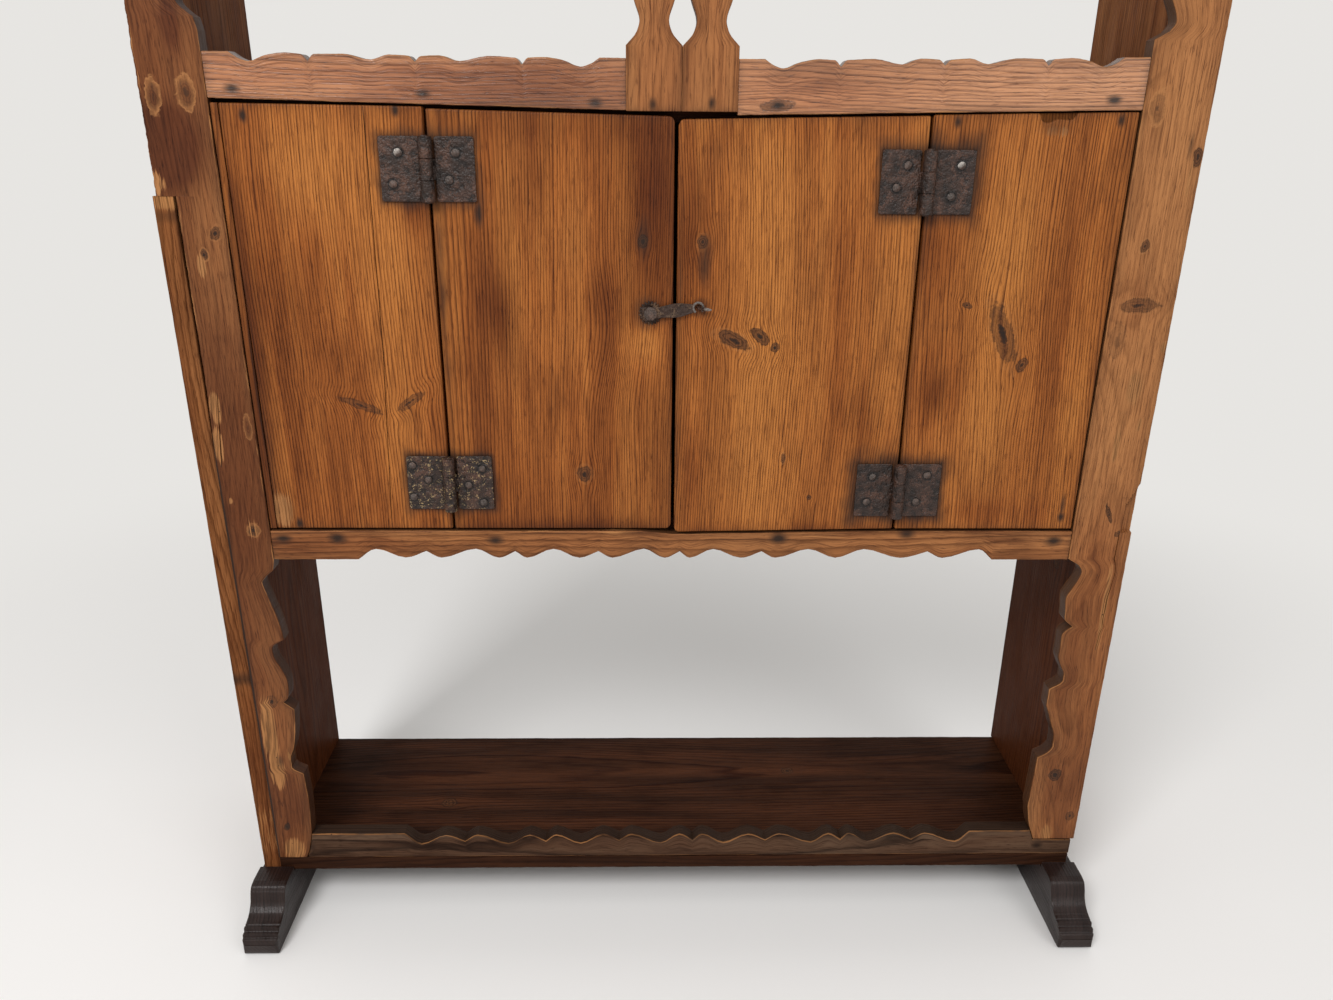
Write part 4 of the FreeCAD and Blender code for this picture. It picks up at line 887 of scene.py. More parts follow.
CATCH = (0.025, 0.904)   # X and Z of the latch's bent catch nail
CATCH_BEND, CATCH_WIRE = 0.003, 0.0021  # radius of its bend and of its wire
EYE_RADIUS, EYE_WIRE = 0.0060, 0.00145  # of the latch's eye
BAR_BACK, BAR_SHORT = 0.0092, 0.0050    # the bar starts behind its pivot and ends before the catch nail
# Half widths of the bar at even steps from its pivot to its eye.
BAR_HALVES = np.array((0.0080, 0.0088, 0.0070, 0.0066, 0.0072, 0.0082, 0.0085, 0.0078, 0.0062, 0.0050))
TEETH = 80               # facets of the toothed washer, four to a tooth

FLOOR_REACH, FLOOR_LINES = 7.0, 15
HAZE = (0.8, 2.4)        # distances between which the floor runs into the backdrop
# Name, place, target and size of each lamp, and the setting that holds its power.
LAMPS = (("main_lamp", (-1.3, -2.4, 3.0), (0.0, 0.0, 0.8), 1.2, "lamp"),
         ("fill_lamp", (2.0, -2.6, 2.4), (0.0, 0.0, 0.7), 1.8, "fill"))


def nail_stains(nails, low, high, size, upright=False):
    """Iron stains of the nails whose X lies between low and high, a little longer along the grain."""
    places = [(z, x) if upright else (x, z) for x, z in nails if low < x < high]
    return tuple(Spot(along, across, size * 1.3, size * 0.8, 0.95) for along, across in places)


def leaf_halo(node, reach, strength):
    """The iron stain round a hinge leaf."""
    low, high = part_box(node)
    return Halo(low.z, high.z, low.x, high.x, reach, strength)


def stepped(edge, shift, fall):
    """A shape that moves an edge by shift above the notch, and what lies within fall of it by less."""
    def shape(u, v, w):
        return u, v + np.where(u > NOTCH, shift * np.clip(1 - np.abs(v - edge) / fall, 0, 1), 0.0), w
    return shape


def splinter(u, v, w):
    """Sinks the broken-out wedge: square at its lower end, running out to the edge at its upper end."""
    bottom, top = SPLINTER
    rim = SPLINTER_EDGE + np.maximum(0, 2 * (u - bottom) / (top - bottom) - 1) * SPLINTER_LEAN
    gone = (u > bottom) & (u < top) & (v > rim)
    return u, v, np.where(gone, np.maximum(w, SPLINTER_SUNK + 0.0007 * ripple(u * 500, v * 90, 4)), w)


def beaded(grooves, half_width, depth):
    """A shape that sinks grooves across a toe, each as deep as exp(-d^2) at d half widths."""
    def shape(u, v, w):
        for groove in grooves:
            deep = np.exp(-((u - groove) / half_width) ** 2) * np.clip((v - 0.006) / 0.010, 0, 1)
            v = v - depth * deep
        return u, v, w
    return shape


class CABINET_OT_sides(bpy.types.Operator):
    """Build the two sides of the case"""

    bl_idname = "cabinet.sides"
    bl_label = "Sides"

    def execute(self, context):
        low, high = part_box("left_stile")
        face_mm = 1000 * FACE
        # The broad tones paint the inner faces of both sides darker: dirt with painted shade.
        left = Timber(
            pith=(0.04, 0.09), spacing=0.0038, slope=0.015, sway=0.006, shade=0.12, seed=21,
            tones=spots((500, 100, 650, 160, 1.5), (350, face_mm, 300, 12, -0.1)),
            stains=spots((394, face_mm, 14, 8, 0.7), (1005, face_mm, 12, 20, 0.5)),
            pale=spots((1024, face_mm, 14, 14, 0.9), (140, face_mm, 50, 12, 0.4)),
        )
        right = Timber(
            pith=(-0.05, 0.07), spacing=0.0042, slope=0.015, sway=0.006, shade=0.12, seed=22,
            tones=spots((200, 100, 650, 500, 1.1)),
            knots=knots((500, 50, 10, 8)),
        )
        way = {"pitch": 0.005, "seen_back": True}
        add_board("left_side", "left_side_board", ALONG_Z_SIDE, left, "frame_matt", face=1, sides=True,
                  edge=0.0014, cuts=(NOTCH,), shape=stepped(low.y, high.y - low.y, 0.06), **way)
        add_board("right_side", "right_side_board", ALONG_Z_SIDE, right, "frame_matt", **way)
        return {"FINISHED"}


class CABINET_OT_stiles(bpy.types.Operator):
    """Build the two scalloped front stiles"""

    bl_idname = "cabinet.stiles"
    bl_label = "Stiles"

    def execute(self, context):
        seam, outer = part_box("left_stile")[0].x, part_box("left_side_board")[0].x
        seam_mm = 1000 * seam
        left = Timber(
            pith=(0.06, 0.075), spacing=0.0036, slope=0.03, sway=0.01, length=0.7, shade=0.58, seed=31,
            lines=0.45,
            knots=knots((1133, -580.3, 14, 6, 0, 0.35, 0.95), (1137, -543.6, 14, 7, 0, 0.35, 0.9),
                        (986.8, -534.1, 8, 5, 30, 0.8, 0.3), (962, -551, 6, 4, 0, 0.9, 0.6),
                        (752.4, -530, 12, 3.5, 0, 0.25, 0.6), (615.3, -542, 7, 6, 0, 0.9, 0.6),
                        (360, -552, 9, 7, 10, 0.5), (148, -558.3, 7, 4, 20, 0.9)),
            pale=spots((1041, -602, 16, 22, 0.95), (949, -556, 16, 6, 0.9), (777.8, -566.1, 24, 8, 1),
                       (730.2, -569.9, 26, 8, 1), (615.5, -542, 18, 14, 0.45), (655.5, -564.4, 6, 2.5, 0.8),
                       (303.6, -562.1, 70, 12, 1), (243.5, -558.9, 34, 13, 0.85), (270, -540, 10, 2, 0.9),
                       (108, -553, 24, 20, 0.8)),
            tones=spots((1080, -575, 45, 50, 0.75), (1205, -550, 30, 12, 0.5), (1000, -535, 120, 20, -0.3),
                        (700, -555, 200, 30, 0.25), (195, -540, 50, 25, 0.3), (280, -550, 100, 30, -0.2)),
            stains=spots((148, -558.3, 6.5, 4, 0.95), (262, -553, 14, 6, 0.7), (420, seam_mm, 500, 1.8, 2.5),
                         (900, seam_mm, 100, 1.8, 2.5)),
            splits=((((0.797, -0.5622), (0.701, -0.5727)), 0.0008, 0.004, 0.012),),
        )
        right = Timber(
            pith=(-0.012, 0.04), spacing=0.0046, slope=-0.03, sway=0.014, length=0.62, shade=-0.55, seed=32,
            lines=0.42,
            knots=knots((1130.5, 537.4, 14, 7, 0, 0.35, 0.8), (1079, 593, 10, 5, 0, 0.9),
                        (979, 550, 7, 4.5, 20, 0.8, 0.5), (909, 555.7, 8, 22, 0, 0.6, 0.2),
                        (866.5, 536.9, 20, 9, 0, 0.25), (639.3, 564.4, 13, 3, -20, 0.9), (611, 580, 5, 3),
                        (233.3, 554, 9, 8, 0, 0.9), (161, 587, 7, 6, 0, 0.6)),
            pale=spots((1055, 588, 30, 3, 0.7), (808, 568, 28, 13, 0.8), (858, 594.8, 10, 5, 0.8),
                       (760, 582.5, 12, 4, 0.8), (733, 558.3, 28, 5, 1), (500, 581, 80, 4, 0.9),
                       (130, 555.6, 20, 12, 0.7)),
            tones=spots((1100, 570, 100, 40, -0.35), (909, 556, 35, 40, 0.45), (200, 560, 140, 50, 0.95),
                        (470, 550, 170, 50, 0.75), (760, 560, 100, 30, -0.35)),
            stains=spots((1090, 583, 20, 4, 0.6), (233.3, 554, 12, 10, 0.6)),
            splits=((((0.6125, 0.585), (0.515, 0.583), (0.438, 0.579)), 0.0008, 0.006, 0.012),),
        )
        way = {"sides": True, "pitch": context.scene.cabinet_wear.fine_pitch, "rubbed": 0.45}
        add_board("stile_left", "left_stile", ALONG_Z, left, "frame_pine", cuts=(NOTCH,), soiled=0.7,
                  shape=stepped(seam, outer - seam, 0.03), **way)
        add_board("stile_right", "right_stile", ALONG_Z, right, "frame_pine", rim=1, soiled=0.75,
                  shape=splinter, **way)
        return {"FINISHED"}


class CABINET_OT_shelf(bpy.types.Operator):
    """Build the bottom shelf and the scalloped lip on its front edge"""

    bl_idname = "cabinet.shelf"
    bl_label = "Shelf and lip"

    def execute(self, context):
        board = Timber(
            pith=(0.05, -0.1), spacing=0.0048, slope=0.03, sway=0.012, length=1.3, seed=41,
            # The first tone paints a darker band along the shelf just behind the lip, a painted shadow of the
            # lip.
            tones=spots((0, -40, 500, 50, 0.3), (300, -20, 200, 50, -0.8), (-300, 80, 200, 30, -0.8),
                        (-360, 20, 100, 12, -1.6), (-120, -30, 160, 14, -1.2), (120, 100, 200, 12, -1.3)),
            knots=knots((-350, 20, 12, 10), (200, 100, 10, 8, 30)),
        )
        lip = Timber(
            pith=(0.0, 0.06), spacing=0.0042, slope=0.01, sway=0.004, seed=42,
            tones=spots((360, 130, 100, 8, -1), (-420, 130, 140, 6, -0.8)),
            stains=spots((-530, 112, 10, 8, 0.9), (545, 108, 10, 8, 0.9)),
        )
        # The shelf's edges and the lip's top are painted dark, dirt with painted shade, and the lip's front
        # arris is painted pale, wear with a painted highlight.
        add_board("shelf", "bottom_shelf", ALONG_X_FLAT, board, "dark_pine", "dark_pine", face=1, sides=True,
                  pitch=0.006, edge=0.003, end_edge=0.008, seen_back=True, soiled=0.4)
        add_board("lip", "shelf_lip", ALONG_X, lip, "lip_pine", "dark_pine", sides=True, pitch=0.0026,
                  end_edge=0.0015, soiled=0.75, rubbed=0.70)
        return {"FINISHED"}


class CABINET_OT_apron(bpy.types.Operator):
    """Build the scalloped apron under the cupboard"""

    bl_idname = "cabinet.apron"
    bl_label = "Apron"

    def execute(self, context):
        timber = Timber(
            pith=(-0.03, 0.07), spacing=0.0036, slope=0.012, sway=0.004, shade=-0.25, seed=45,
            stains=nail_stains(APRON_NAILS, -1, 1, 0.012),
            pale=spots((-70, 612, 30, 10, 0.45), (200, 607, 50, 5, 0.4)),
            tones=spots((-440, 600, 100, 20, 0.3), (120, 600, 120, 20, -0.3), (400, 590, 100, 20, 0.2)),
        )
        add_board("apron_board", "apron", ALONG_X, timber, "frame_pine", sides=True, pitch=0.0024,
                  end_edge=0.0012, soiled=0.75, rubbed=0.4)
        return {"FINISHED"}


class CABINET_OT_gallery(bpy.types.Operator):
    """Build the gallery rails on the cupboard and the friezes under the top"""

    bl_idname = "cabinet.gallery"
    bl_label = "Rails and friezes"

    def execute(self, context):
        for side, name, seed in ((-1, "left", 51), (1, "right", 52)):
            # The shade paints the right rail lighter than the left: a painted sheen.
            rail = Timber(
                pith=(0.05, 0.05), spacing=0.0029, slope=0.01 * side, sway=0.004, lines=0.8,
                shade=-0.28 - 0.37 * side, seed=seed,
                stains=nail_stains(RAIL_NAILS, min(0, side), max(0, side), 0.009),
                tones=spots((440 * side, 1150, 160, 30, -0.2), (150 * side, 1140, 100, 30, 0.5)),
                knots=knots((109, 1129, 18, 6, 4, 0.6)) if side > 0 else (),
            )
            frieze = rail._replace(seed=seed + 4, stains=(), knots=(), tones=(), shade=0.12)
            add_board(name + "_rail", name + "_gallery_rail", ALONG_X, rail, "rail_pine", sides=True,
                      pitch=0.0024, end_edge=0.0006, soiled=0.7, rubbed=0.5)
            add_board(name + "_frieze_board", name + "_frieze", ALONG_X, frieze, "frame_pine", sides=True,
                      pitch=0.003, end_edge=0.0012)
        return {"FINISHED"}


class CABINET_OT_balusters(bpy.types.Operator):
    """Build the pair of flat sawn balusters"""

    bl_idname = "cabinet.balusters"
    bl_label = "Balusters"

    def execute(self, context):
        for name, seed, pith, nail in (("left", 61, 0.03, 3), ("right", 62, -0.02, 4)):
            timber = Timber(pith=(pith, 0.05), spacing=0.004, slope=0.012, sway=0.006, shade=-0.22, seed=seed,
                            lines=0.5, stains=nail_stains((RAIL_NAILS[nail],), -1, 1, 0.008, True))
            add_board(name + "_baluster_board", name + "_baluster", ALONG_Z, timber, "frame_pine", sides=True,
                      pitch=0.0026, edge=0.0009, soiled=0.6, rubbed=0.4, nibbled=0.1)
        return {"FINISHED"}


class CABINET_OT_top(bpy.types.Operator):
    """Build the top board with its rounded nose"""

    bl_idname = "cabinet.top"
    bl_label = "Top board"

    def execute(self, context):
        timber = Timber(
            pith=(0.02, -0.13), spacing=0.005, slope=0.02, sway=0.012, length=1.4, seed=71,
            knots=knots((-280, 60, 14, 11), (360, -40, 12, 9, 20)),
        )
        add_board("top", "top_board", ALONG_X_FLAT, timber, "frame_pine", face=1, pitch=0.006, edge=0.0085)
        return {"FINISHED"}


class CABINET_OT_cupboard(bpy.types.Operator):
    """Build the cupboard's floor, top and back boards"""

    bl_idname = "cabinet.cupboard"
    bl_label = "Cupboard boards"

    def execute(self, context):
        plain = Timber(pith=(0.06, -0.09), spacing=0.0046, slope=0.02, sway=0.008)
        for node, seed in (("cupboard_floor", 81), ("cupboard_top", 82)):
            timber = plain._replace(seed=seed)
            add_board(node + "_board", node, ALONG_X_FLAT, timber, "dark_pine", "dark_pine", face=1,
                      seen_back=True)
        backs = sorted(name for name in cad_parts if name.startswith("back_board"))
        boards = []
        for index, node in enumerate(backs):
            timber = plain._replace(seed=85 + index, pith=(0.05 - 0.03 * index, 0.08))
            boards.append(worn_board(node, ALONG_Z, timber, edge=0.0012, seen_back=True))
        add_piece("back_planks", boards, "dark_pine", "carcass", "dark_pine", *backs)
        return {"FINISHED"}


class CABINET_OT_panels(bpy.types.Operator):
    """Build the two fixed panels and the filler strip beside the left one"""

    bl_idname = "cabinet.panels"
    bl_label = "Fixed panels"

    def execute(self, context):
        left = Timber(
            pith=(0.19, 0.05), spacing=0.0036, slope=0.012, sway=0.006, length=0.8, shade=0.1, seed=91,
            knots=knots((781, -388, 25, 5, -69, 0.6), (786, -327, 20, 5, 57, 0.6),
                        (645, -509, 8, 6, 0, 0.6, 0.5)),
            stains=nail_stains(PANEL_NAILS, -1, 0, 0.008, True),
            pale=spots((642, -503, 30, 22, 0.75)),
            tones=spots((960, -335, 170, 40, -0.75), (700, -345, 70, 30, -0.45), (1060, -420, 70, 60, -0.9),
                        (920, -470, 200, 40, 0.25), (870, -508, 250, 12, 0.6), (1020, -300, 30, 20, 0.7)),
            halos=(leaf_halo("upper_left_fixed_leaf", 0.007, 0.64),
                   leaf_halo("lower_left_fixed_leaf", 0.007, 0.72)),
            splits=((((1.126, -0.351), (0.85, -0.354), (0.62, -0.364)), 0.0006, 0.0012, 0.05),),
        )
        right = Timber(
            pith=(-0.2, 0.06), spacing=0.0034, slope=-0.014, sway=0.01, length=0.9, shade=-0.25, seed=92,
            knots=knots((872.3, 396.2, 36, 11, -21, 0.6, 0.2), (835, 424, 9, 6, 30),
                        (907.5, 348.7, 3, 6, 20)),
            stains=nail_stains(PANEL_NAILS, 0, 1, 0.008, True) + spots((1108, 425, 12, 30, 0.5),
                                                                       (650, 503, 24, 4, 0.8)),
            pale=spots((1104, 428, 8, 30, 0.45)),
            tones=spots((970, 388, 100, 30, -0.9), (765, 388, 80, 28, -0.8), (777, 495, 70, 14, -0.6),
                        (800, 320, 45, 26, 0.8), (970, 300, 50, 20, 0.5), (640, 400, 20, 100, 0.3),
                        (900, 470, 160, 30, 0.25)),
            halos=(leaf_halo("upper_right_fixed_leaf", 0.011, 0.81),
                   leaf_halo("lower_right_fixed_leaf", 0.011, 0.81)),
        )
        strip = Timber(spacing=0.003, shade=0.2, seed=93, tones=spots((750, -510, 150, 20, 0.6)))
        pitch = context.scene.cabinet_wear.fine_pitch
        for name, timber in (("left", left), ("right", right)):
            add_board(name + "_panel", name + "_fixed_panel", ALONG_Z, timber, "door_pine", "door_pine",
                      ends=True, rim=1, pitch=pitch)
        add_board("filler", "panel_filler_strip", ALONG_Z, strip, "door_pine", "door_pine", edge=0.001)
        return {"FINISHED"}


class CABINET_OT_doors(bpy.types.Operator):
    """Build the two doors"""

    bl_idname = "cabinet.doors"
    bl_label = "Doors"

    def execute(self, context):
        left = Timber(
            pith=(-0.16, 0.07), spacing=0.003, slope=0.01, sway=0.007, length=0.95, shade=0.18, seed=101,
            knots=knots((980, -41, 7, 5, 0, 0.95), (691.6, -115.3, 10, 8, 10, 0.8, 0.2)),
            bends=spots((870, -80, 70, 30, 0.014), (800, -55, 100, 30, -0.008)),
            stains=spots((985, -41, 35, 12, 0.6), (897, -34, 28, 26, 0.9), (1012, -231, 24, 8, 0.9),
                         (930, -277, 180, 6, 0.4)),
            tones=spots((900, -215, 80, 22, 0.55, -9), (914, -99, 35, 32, 0.45), (1030, -28, 140, 32, 0.7),
                        (960, -125, 160, 22, -0.55), (780, -170, 140, 30, -0.3), (860, -36, 26, 22, -1.2),
                        (614, -150, 18, 150, 0.6), (700, -20, 80, 15, 0.3), (1105, -150, 20, 160, 0.25),
                        (1050, -160, 50, 30, 0.25)),
            halos=(leaf_halo("upper_left_door_leaf", 0.008, 0.68),
                   leaf_halo("lower_left_door_leaf", 0.006, 0.72)),
        )
        right = Timber(
            pith=(0.22, 0.06), spacing=0.0031, slope=-0.008, sway=0.008, length=0.9, shade=-0.32, seed=102,
            knots=knots((979.7, 28.9, 8, 6, 8, 0.9, 0.2), (864.2, 68.4, 21, 7.5, -65, 0.9, 0.25),
                        (869.2, 100.3, 13, 6.5, -55, 0.85), (855.5, 119.2, 6, 5),
                        (713.5, 136, 6, 2.5, 0, 0.8, 0.4), (660.8, 172.1, 3, 3)),
            stains=spots((955, 32, 40, 11, 0.6), (903, 27, 16, 16, 0.7), (930, 4, 120, 5, 0.5)),
            tones=spots((990, 108, 120, 28, -0.9), (785, 100, 90, 30, -0.9), (1000, 18, 100, 24, 0.8),
                        (760, 236, 80, 30, 0.55), (650, 100, 60, 40, -0.35), (900, 200, 140, 25, 0.3),
                        (1105, 120, 20, 150, 0.25), (614, 150, 12, 140, 0.4), (700, 20, 70, 15, 0.3)),
            halos=(leaf_halo("upper_right_door_leaf", 0.009, 0.72),
                   leaf_halo("lower_right_door_leaf", 0.014, 0.85)),
            splits=((((1.108, 0.118), (1.05, 0.119)), 0.0005, 0.0012, 0.02),),
        )
        pitch = context.scene.cabinet_wear.fine_pitch
        for name, timber in (("left_door", left), ("right_door", right)):
            add_board(name + "_board", name, ALONG_Z, timber, "door_pine", "door_pine", name, ends=True,
                      rim=1, pitch=pitch)
        return {"FINISHED"}


class CABINET_OT_feet(bpy.types.Operator):
    """Build the two sledge feet with their ogee toes"""

    bl_idname = "cabinet.feet"
    bl_label = "Feet"

    def execute(self, context):
        wear = context.scene.cabinet_wear
        for name, face, seed in (("left", -1, 111), ("right", 1, 112)):
            timber = Timber(pith=(0.03, 0.06), spacing=0.0044, slope=0.02, sway=0.004, seed=seed)
            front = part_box(name + "_foot")[0].y
            grooves = [front + reach for reach in BEAD_REACHES]
            add_board(name + "_sledge_foot", name + "_foot", ALONG_Y, timber, "foot_wood", "foot_wood",
                      face=face, sides=True, pitch=0.0020, edge=0.0024, end_edge=0.006, seen_back=True,
                      cuts=[groove + step * wear.bead_width for groove in grooves for step in BEAD_STEPS],
                      shape=beaded(grooves, wear.bead_width, wear.bead_depth), rubbed=0.3)
        return {"FINISHED"}


def hinge_leaf(fixed, prefix, seed, heads):
    """One leaf as closed solids: a hammered plate, a tongue to each of its knuckles, and the rolled knuckles.

    The plate is painted dark around each of the nail heads, a painted shadow.
    """
    low, high = box_of(prefix + ("_fixed_leaf" if fixed else "_door_leaf"))
    axis_x, axis_y, _ = np.mean(box_of(prefix + "_hinge_pin"), axis=0)
    far_edge, toward = (low[0], 1) if abs(low[0] - axis_x) > abs(high[0] - axis_x) else (high[0], -1)
    near_edge = axis_x - toward * KNUCKLE_ROOM
    back, front = high[1], high[1] - LEAF
    radius = back - KNUCKLE_CLEAR - axis_y
    solids = [forged_plate((low[2], high[2]), *sorted((far_edge, near_edge)), front, back, ALONG_Z, seed)]
    tongue = sorted((near_edge - toward * 0.002, axis_x))
    third = (high[2] - low[2]) / 3
    for index, place in enumerate((0, 2) if fixed else (1,)):
        bottom = low[2] + third * place + (KNUCKLE_GAP if place else 0)
        top = low[2] + third * (place + 1) - (KNUCKLE_GAP if place < 2 else 0)
        solids.append(forged_plate((bottom, top), *tongue, front + 0.0001, back - 0.0001, ALONG_Z,
                                   seed + 5 + index, corner=0.0004, uneven=0.0))
        roundness = 1 - 0.035 * ripple(np.arange(KNUCKLE_FACETS) * 2.4, index * 3.0, seed + 9 + index)
        height = top - bottom
        profile = ((0, radius - KNUCKLE_BEVEL), (KNUCKLE_BEVEL, radius), (0.45 * height, radius * 0.985),
                   (height - KNUCKLE_BEVEL, radius), (height, radius - KNUCKLE_BEVEL))
        solids.append(turned((axis_x, axis_y, bottom), (0, 0, 1), profile, KNUCKLE_FACETS, roundness))
    finished = [plain_marks(solid) for solid in solids]
    # Painted shadow: the plate darkens round each nail head.
    for rings, _, marks, _ in finished:
        for x, z in heads:
            away = np.hypot(rings[..., 0] - x, rings[..., 2] - z)
            marks[..., 3] = np.maximum(marks[..., 3], 0.95 * fade(away, HINGE_NAIL[0], NAIL_SHADOW))
    return finished


class CABINET_OT_hinges(bpy.types.Operator):
    """Build the four forged hinges: leaves, pins and nails"""

    bl_idname = "cabinet.hinges"
    bl_label = "Hinges"

    def execute(self, context):
        nails = {node: nail_places(node) for node in HINGE_NAILS}
        heads = [place for places in nails.values() for place in places]
        for index, prefix in enumerate(("upper_left", "upper_right", "lower_left", "lower_right")):
            door = prefix.split("_")[1] + "_door"
            metal = "crusted_iron" if prefix == "lower_left" else "iron"
            fixed = hinge_leaf(True, prefix, 200 + index * 20, heads)
            add_piece(prefix + "_frame_plate", fixed, metal, "carcass", "iron", prefix + "_fixed_leaf")
            moving = hinge_leaf(False, prefix, 210 + index * 20, heads)
            add_piece(prefix + "_door_plate", moving, metal, door, "iron", prefix + "_door_leaf")
            low, high = box_of(prefix + "_hinge_pin")
            middle, top = (low + high) / 2, high[2] - low[2]
            profile = ((0, 0.003), (0.0004, 0.0044), (0.0013, 0.0048), (0.0014, 0.0031),
                       (top - 0.0014, 0.0031), (top - 0.0013, 0.0048), (top - 0.0005, 0.0044), (top, 0.0026))
            roundness = 1 - 0.06 * ripple(np.arange(PIN_FACETS) * 1.7, 0.0, index)
            pin = turned((middle[0], middle[1], low[2]), (0, 0, 1), profile, PIN_FACETS, roundness)
            add_piece(prefix + "_pin", [plain_marks(pin, rust=0.3)], metal, "carcass", "iron",
                      prefix + "_hinge_pin")
        for node, body in HINGE_NAILS.items():
            solids = []
            for number, (x, z) in enumerate(nails[node]):
                seed = 300 + number * 7 + len(node)
                head = nail_head((x, PLANKS - LEAF, z), (0, -1, 0), *HINGE_NAIL, seed, 10)
                solid = plain_marks(head, rust=0.25)
                rubbed = min(abs(x - near_x) + abs(z - near_z) for near_x, near_z in WORN_GLINTING_NAILS) < 0.004
                # Painted highlight: each head is paler towards its upper left, strongly on the two rubbed
                # ones.
                upper_left = ((head[..., 2] - z) * 0.8 - (head[..., 0] - x) * 0.6) / HINGE_NAIL[0]
                solid[2][..., 2] = np.clip(0.3 + upper_left, 0.03, 0.95 if rubbed else 0.10)
                solids.append(solid)
            add_piece(node.replace("hinge_nails", "clenched_nails"), solids, "iron", body, "iron", node)
        return {"FINISHED"}


class CABINET_OT_latch(bpy.types.Operator):
    """Build the latch: toothed washer, big-headed nail, strap with its eye, and bent catch nail"""

    bl_idname = "cabinet.latch"
    bl_label = "Latch"

    def execute(self, context):
        low, high = box_of("latch_rosette")
        pivot = (low + high) / 2
        facet = np.arange(TEETH)
        teeth = 1 - 0.20 * (facet % 4 == 0) - 0.08 * (facet % 2) * ripple(facet * 0.8, 0.0, 7)
        profile = ((0, 0.0142), (0.0012, 0.0144), (0.0020, 0.0124), (0.0021, 0.0070))
        washer = turned((pivot[0], high[1], pivot[2]), (0, -1, 0), profile, TEETH, teeth)
        add_piece("toothed_washer", [plain_marks(washer, fleck=0.1)], "latch_iron", "left_door", "iron",
                  "latch_rosette")

        seat = (pivot[0], box_of("latch_pivot_nail")[0][1] + 0.0036, pivot[2])
        profile = ((0, 0.0086), (0.0011, 0.0085), (0.0021, 0.0070), (0.0035, 0.0030))
        head = turned(seat, (0, -1, 0), profile, 8, np.random.default_rng(3).uniform(0.93, 1.0, 8), 0.3)
        solid = plain_marks(head, rust=0.15, bright=0.10)
        add_piece("latch_big_nail", [solid], "latch_iron", "left_door", "iron", "latch_pivot_nail")

        low, high = box_of("latch_strap")
        across, down = CATCH[0] - pivot[0], CATCH[1] - pivot[2]
        reach, angle = math.hypot(across, down), math.degrees(math.atan2(down, across))
        centre = np.array((pivot[0], 0.0, pivot[2]))
        span = (pivot[0] - BAR_BACK, pivot[0] + reach - BAR_SHORT)
        bar = forged_plate(span, pivot[2] - BAR_HALVES, pivot[2] + BAR_HALVES, low[1], high[1], ALONG_X, 350,
                           uneven=0.0004)
        turn = np.radians(np.linspace(-52, 232, 30))
        loop = np.stack([pivot[0] + reach + EYE_RADIUS * np.cos(turn), np.full(30, (low[1] + high[1]) / 2),
                         pivot[2] + EYE_RADIUS * np.sin(turn)], axis=1)
        eye = swept(loop, EYE_WIRE, 10, (0.0, 1.0, 0.0))
        # The eye is painted bright in specks: rubbed metal with painted glints.
        solids = [plain_marks(turned_about(bar, centre, angle), fleck=0.1, rust=0.35, bright=0.03),
                  plain_marks(turned_about(eye, centre, angle), bright=0.3)]
        add_piece("latch_strap_and_eye", solids, "latch_iron", "latch", "iron", "latch_strap")

        front = low[1] - 0.0005 - 0.0022
        bend = np.linspace(0.2, np.pi / 2, 6)
        beyond = CATCH_BEND + np.array((0.003, 0.006, 0.009, 0.0118, 0.0126))
        x = CATCH[0] + np.concatenate(((0, 0), CATCH_BEND * (1 - np.cos(bend)), beyond))
        y = np.concatenate(((PLANKS + 0.004, front + 0.0035), front + CATCH_BEND * (1 - np.sin(bend)),
                            np.full(len(beyond), front)))
        path = np.stack([x, y, np.full(len(x), CATCH[1])], axis=1)
        thick = [CATCH_WIRE] * 9 + [0.0020, 0.0018, 0.0012, 0.0006]
        nail = swept(path, thick, 8, (0.0, 0.0, 1.0))
        solid = plain_marks(turned_about(nail, np.array((CATCH[0], 0.0, CATCH[1])), -angle), rust=0.1)
        # The tip is painted bright: rubbed metal with a painted highlight.
        solid[2][-4:, :, 2] = 0.4
        add_piece("latch_bent_nail", [solid], "latch_iron", "right_door", "iron", "latch_catch_nail")
        return {"FINISHED"}


class CABINET_OT_board_nails(bpy.types.Operator):
    """Build the nails that hold rails, panels and apron to the boards behind them"""

    bl_idname = "cabinet.board_nails"
    bl_label = "Board nails"

    def execute(self, context):
        heads = []
        for number, (x, z) in enumerate(RAIL_NAILS + PANEL_NAILS + APRON_NAILS):
            plane = PLANKS if (x, z) in PANEL_NAILS else FACE
            head = nail_head((x, plane + BOARD_NAIL_SUNK, z), (0, -1, 0), *BOARD_NAIL, 400 + number, 7)
            # Every head is painted a little bright and the two bare ones strongly: rubbed metal with a
            # painted highlight.
            heads.append(plain_marks(head, rust=0.2, bright=0.7 if number in BARE_GLINTING_NAILS else 0.12))
        add_piece("board_nails", heads, "iron", "carcass", "iron")
        return {"FINISHED"}


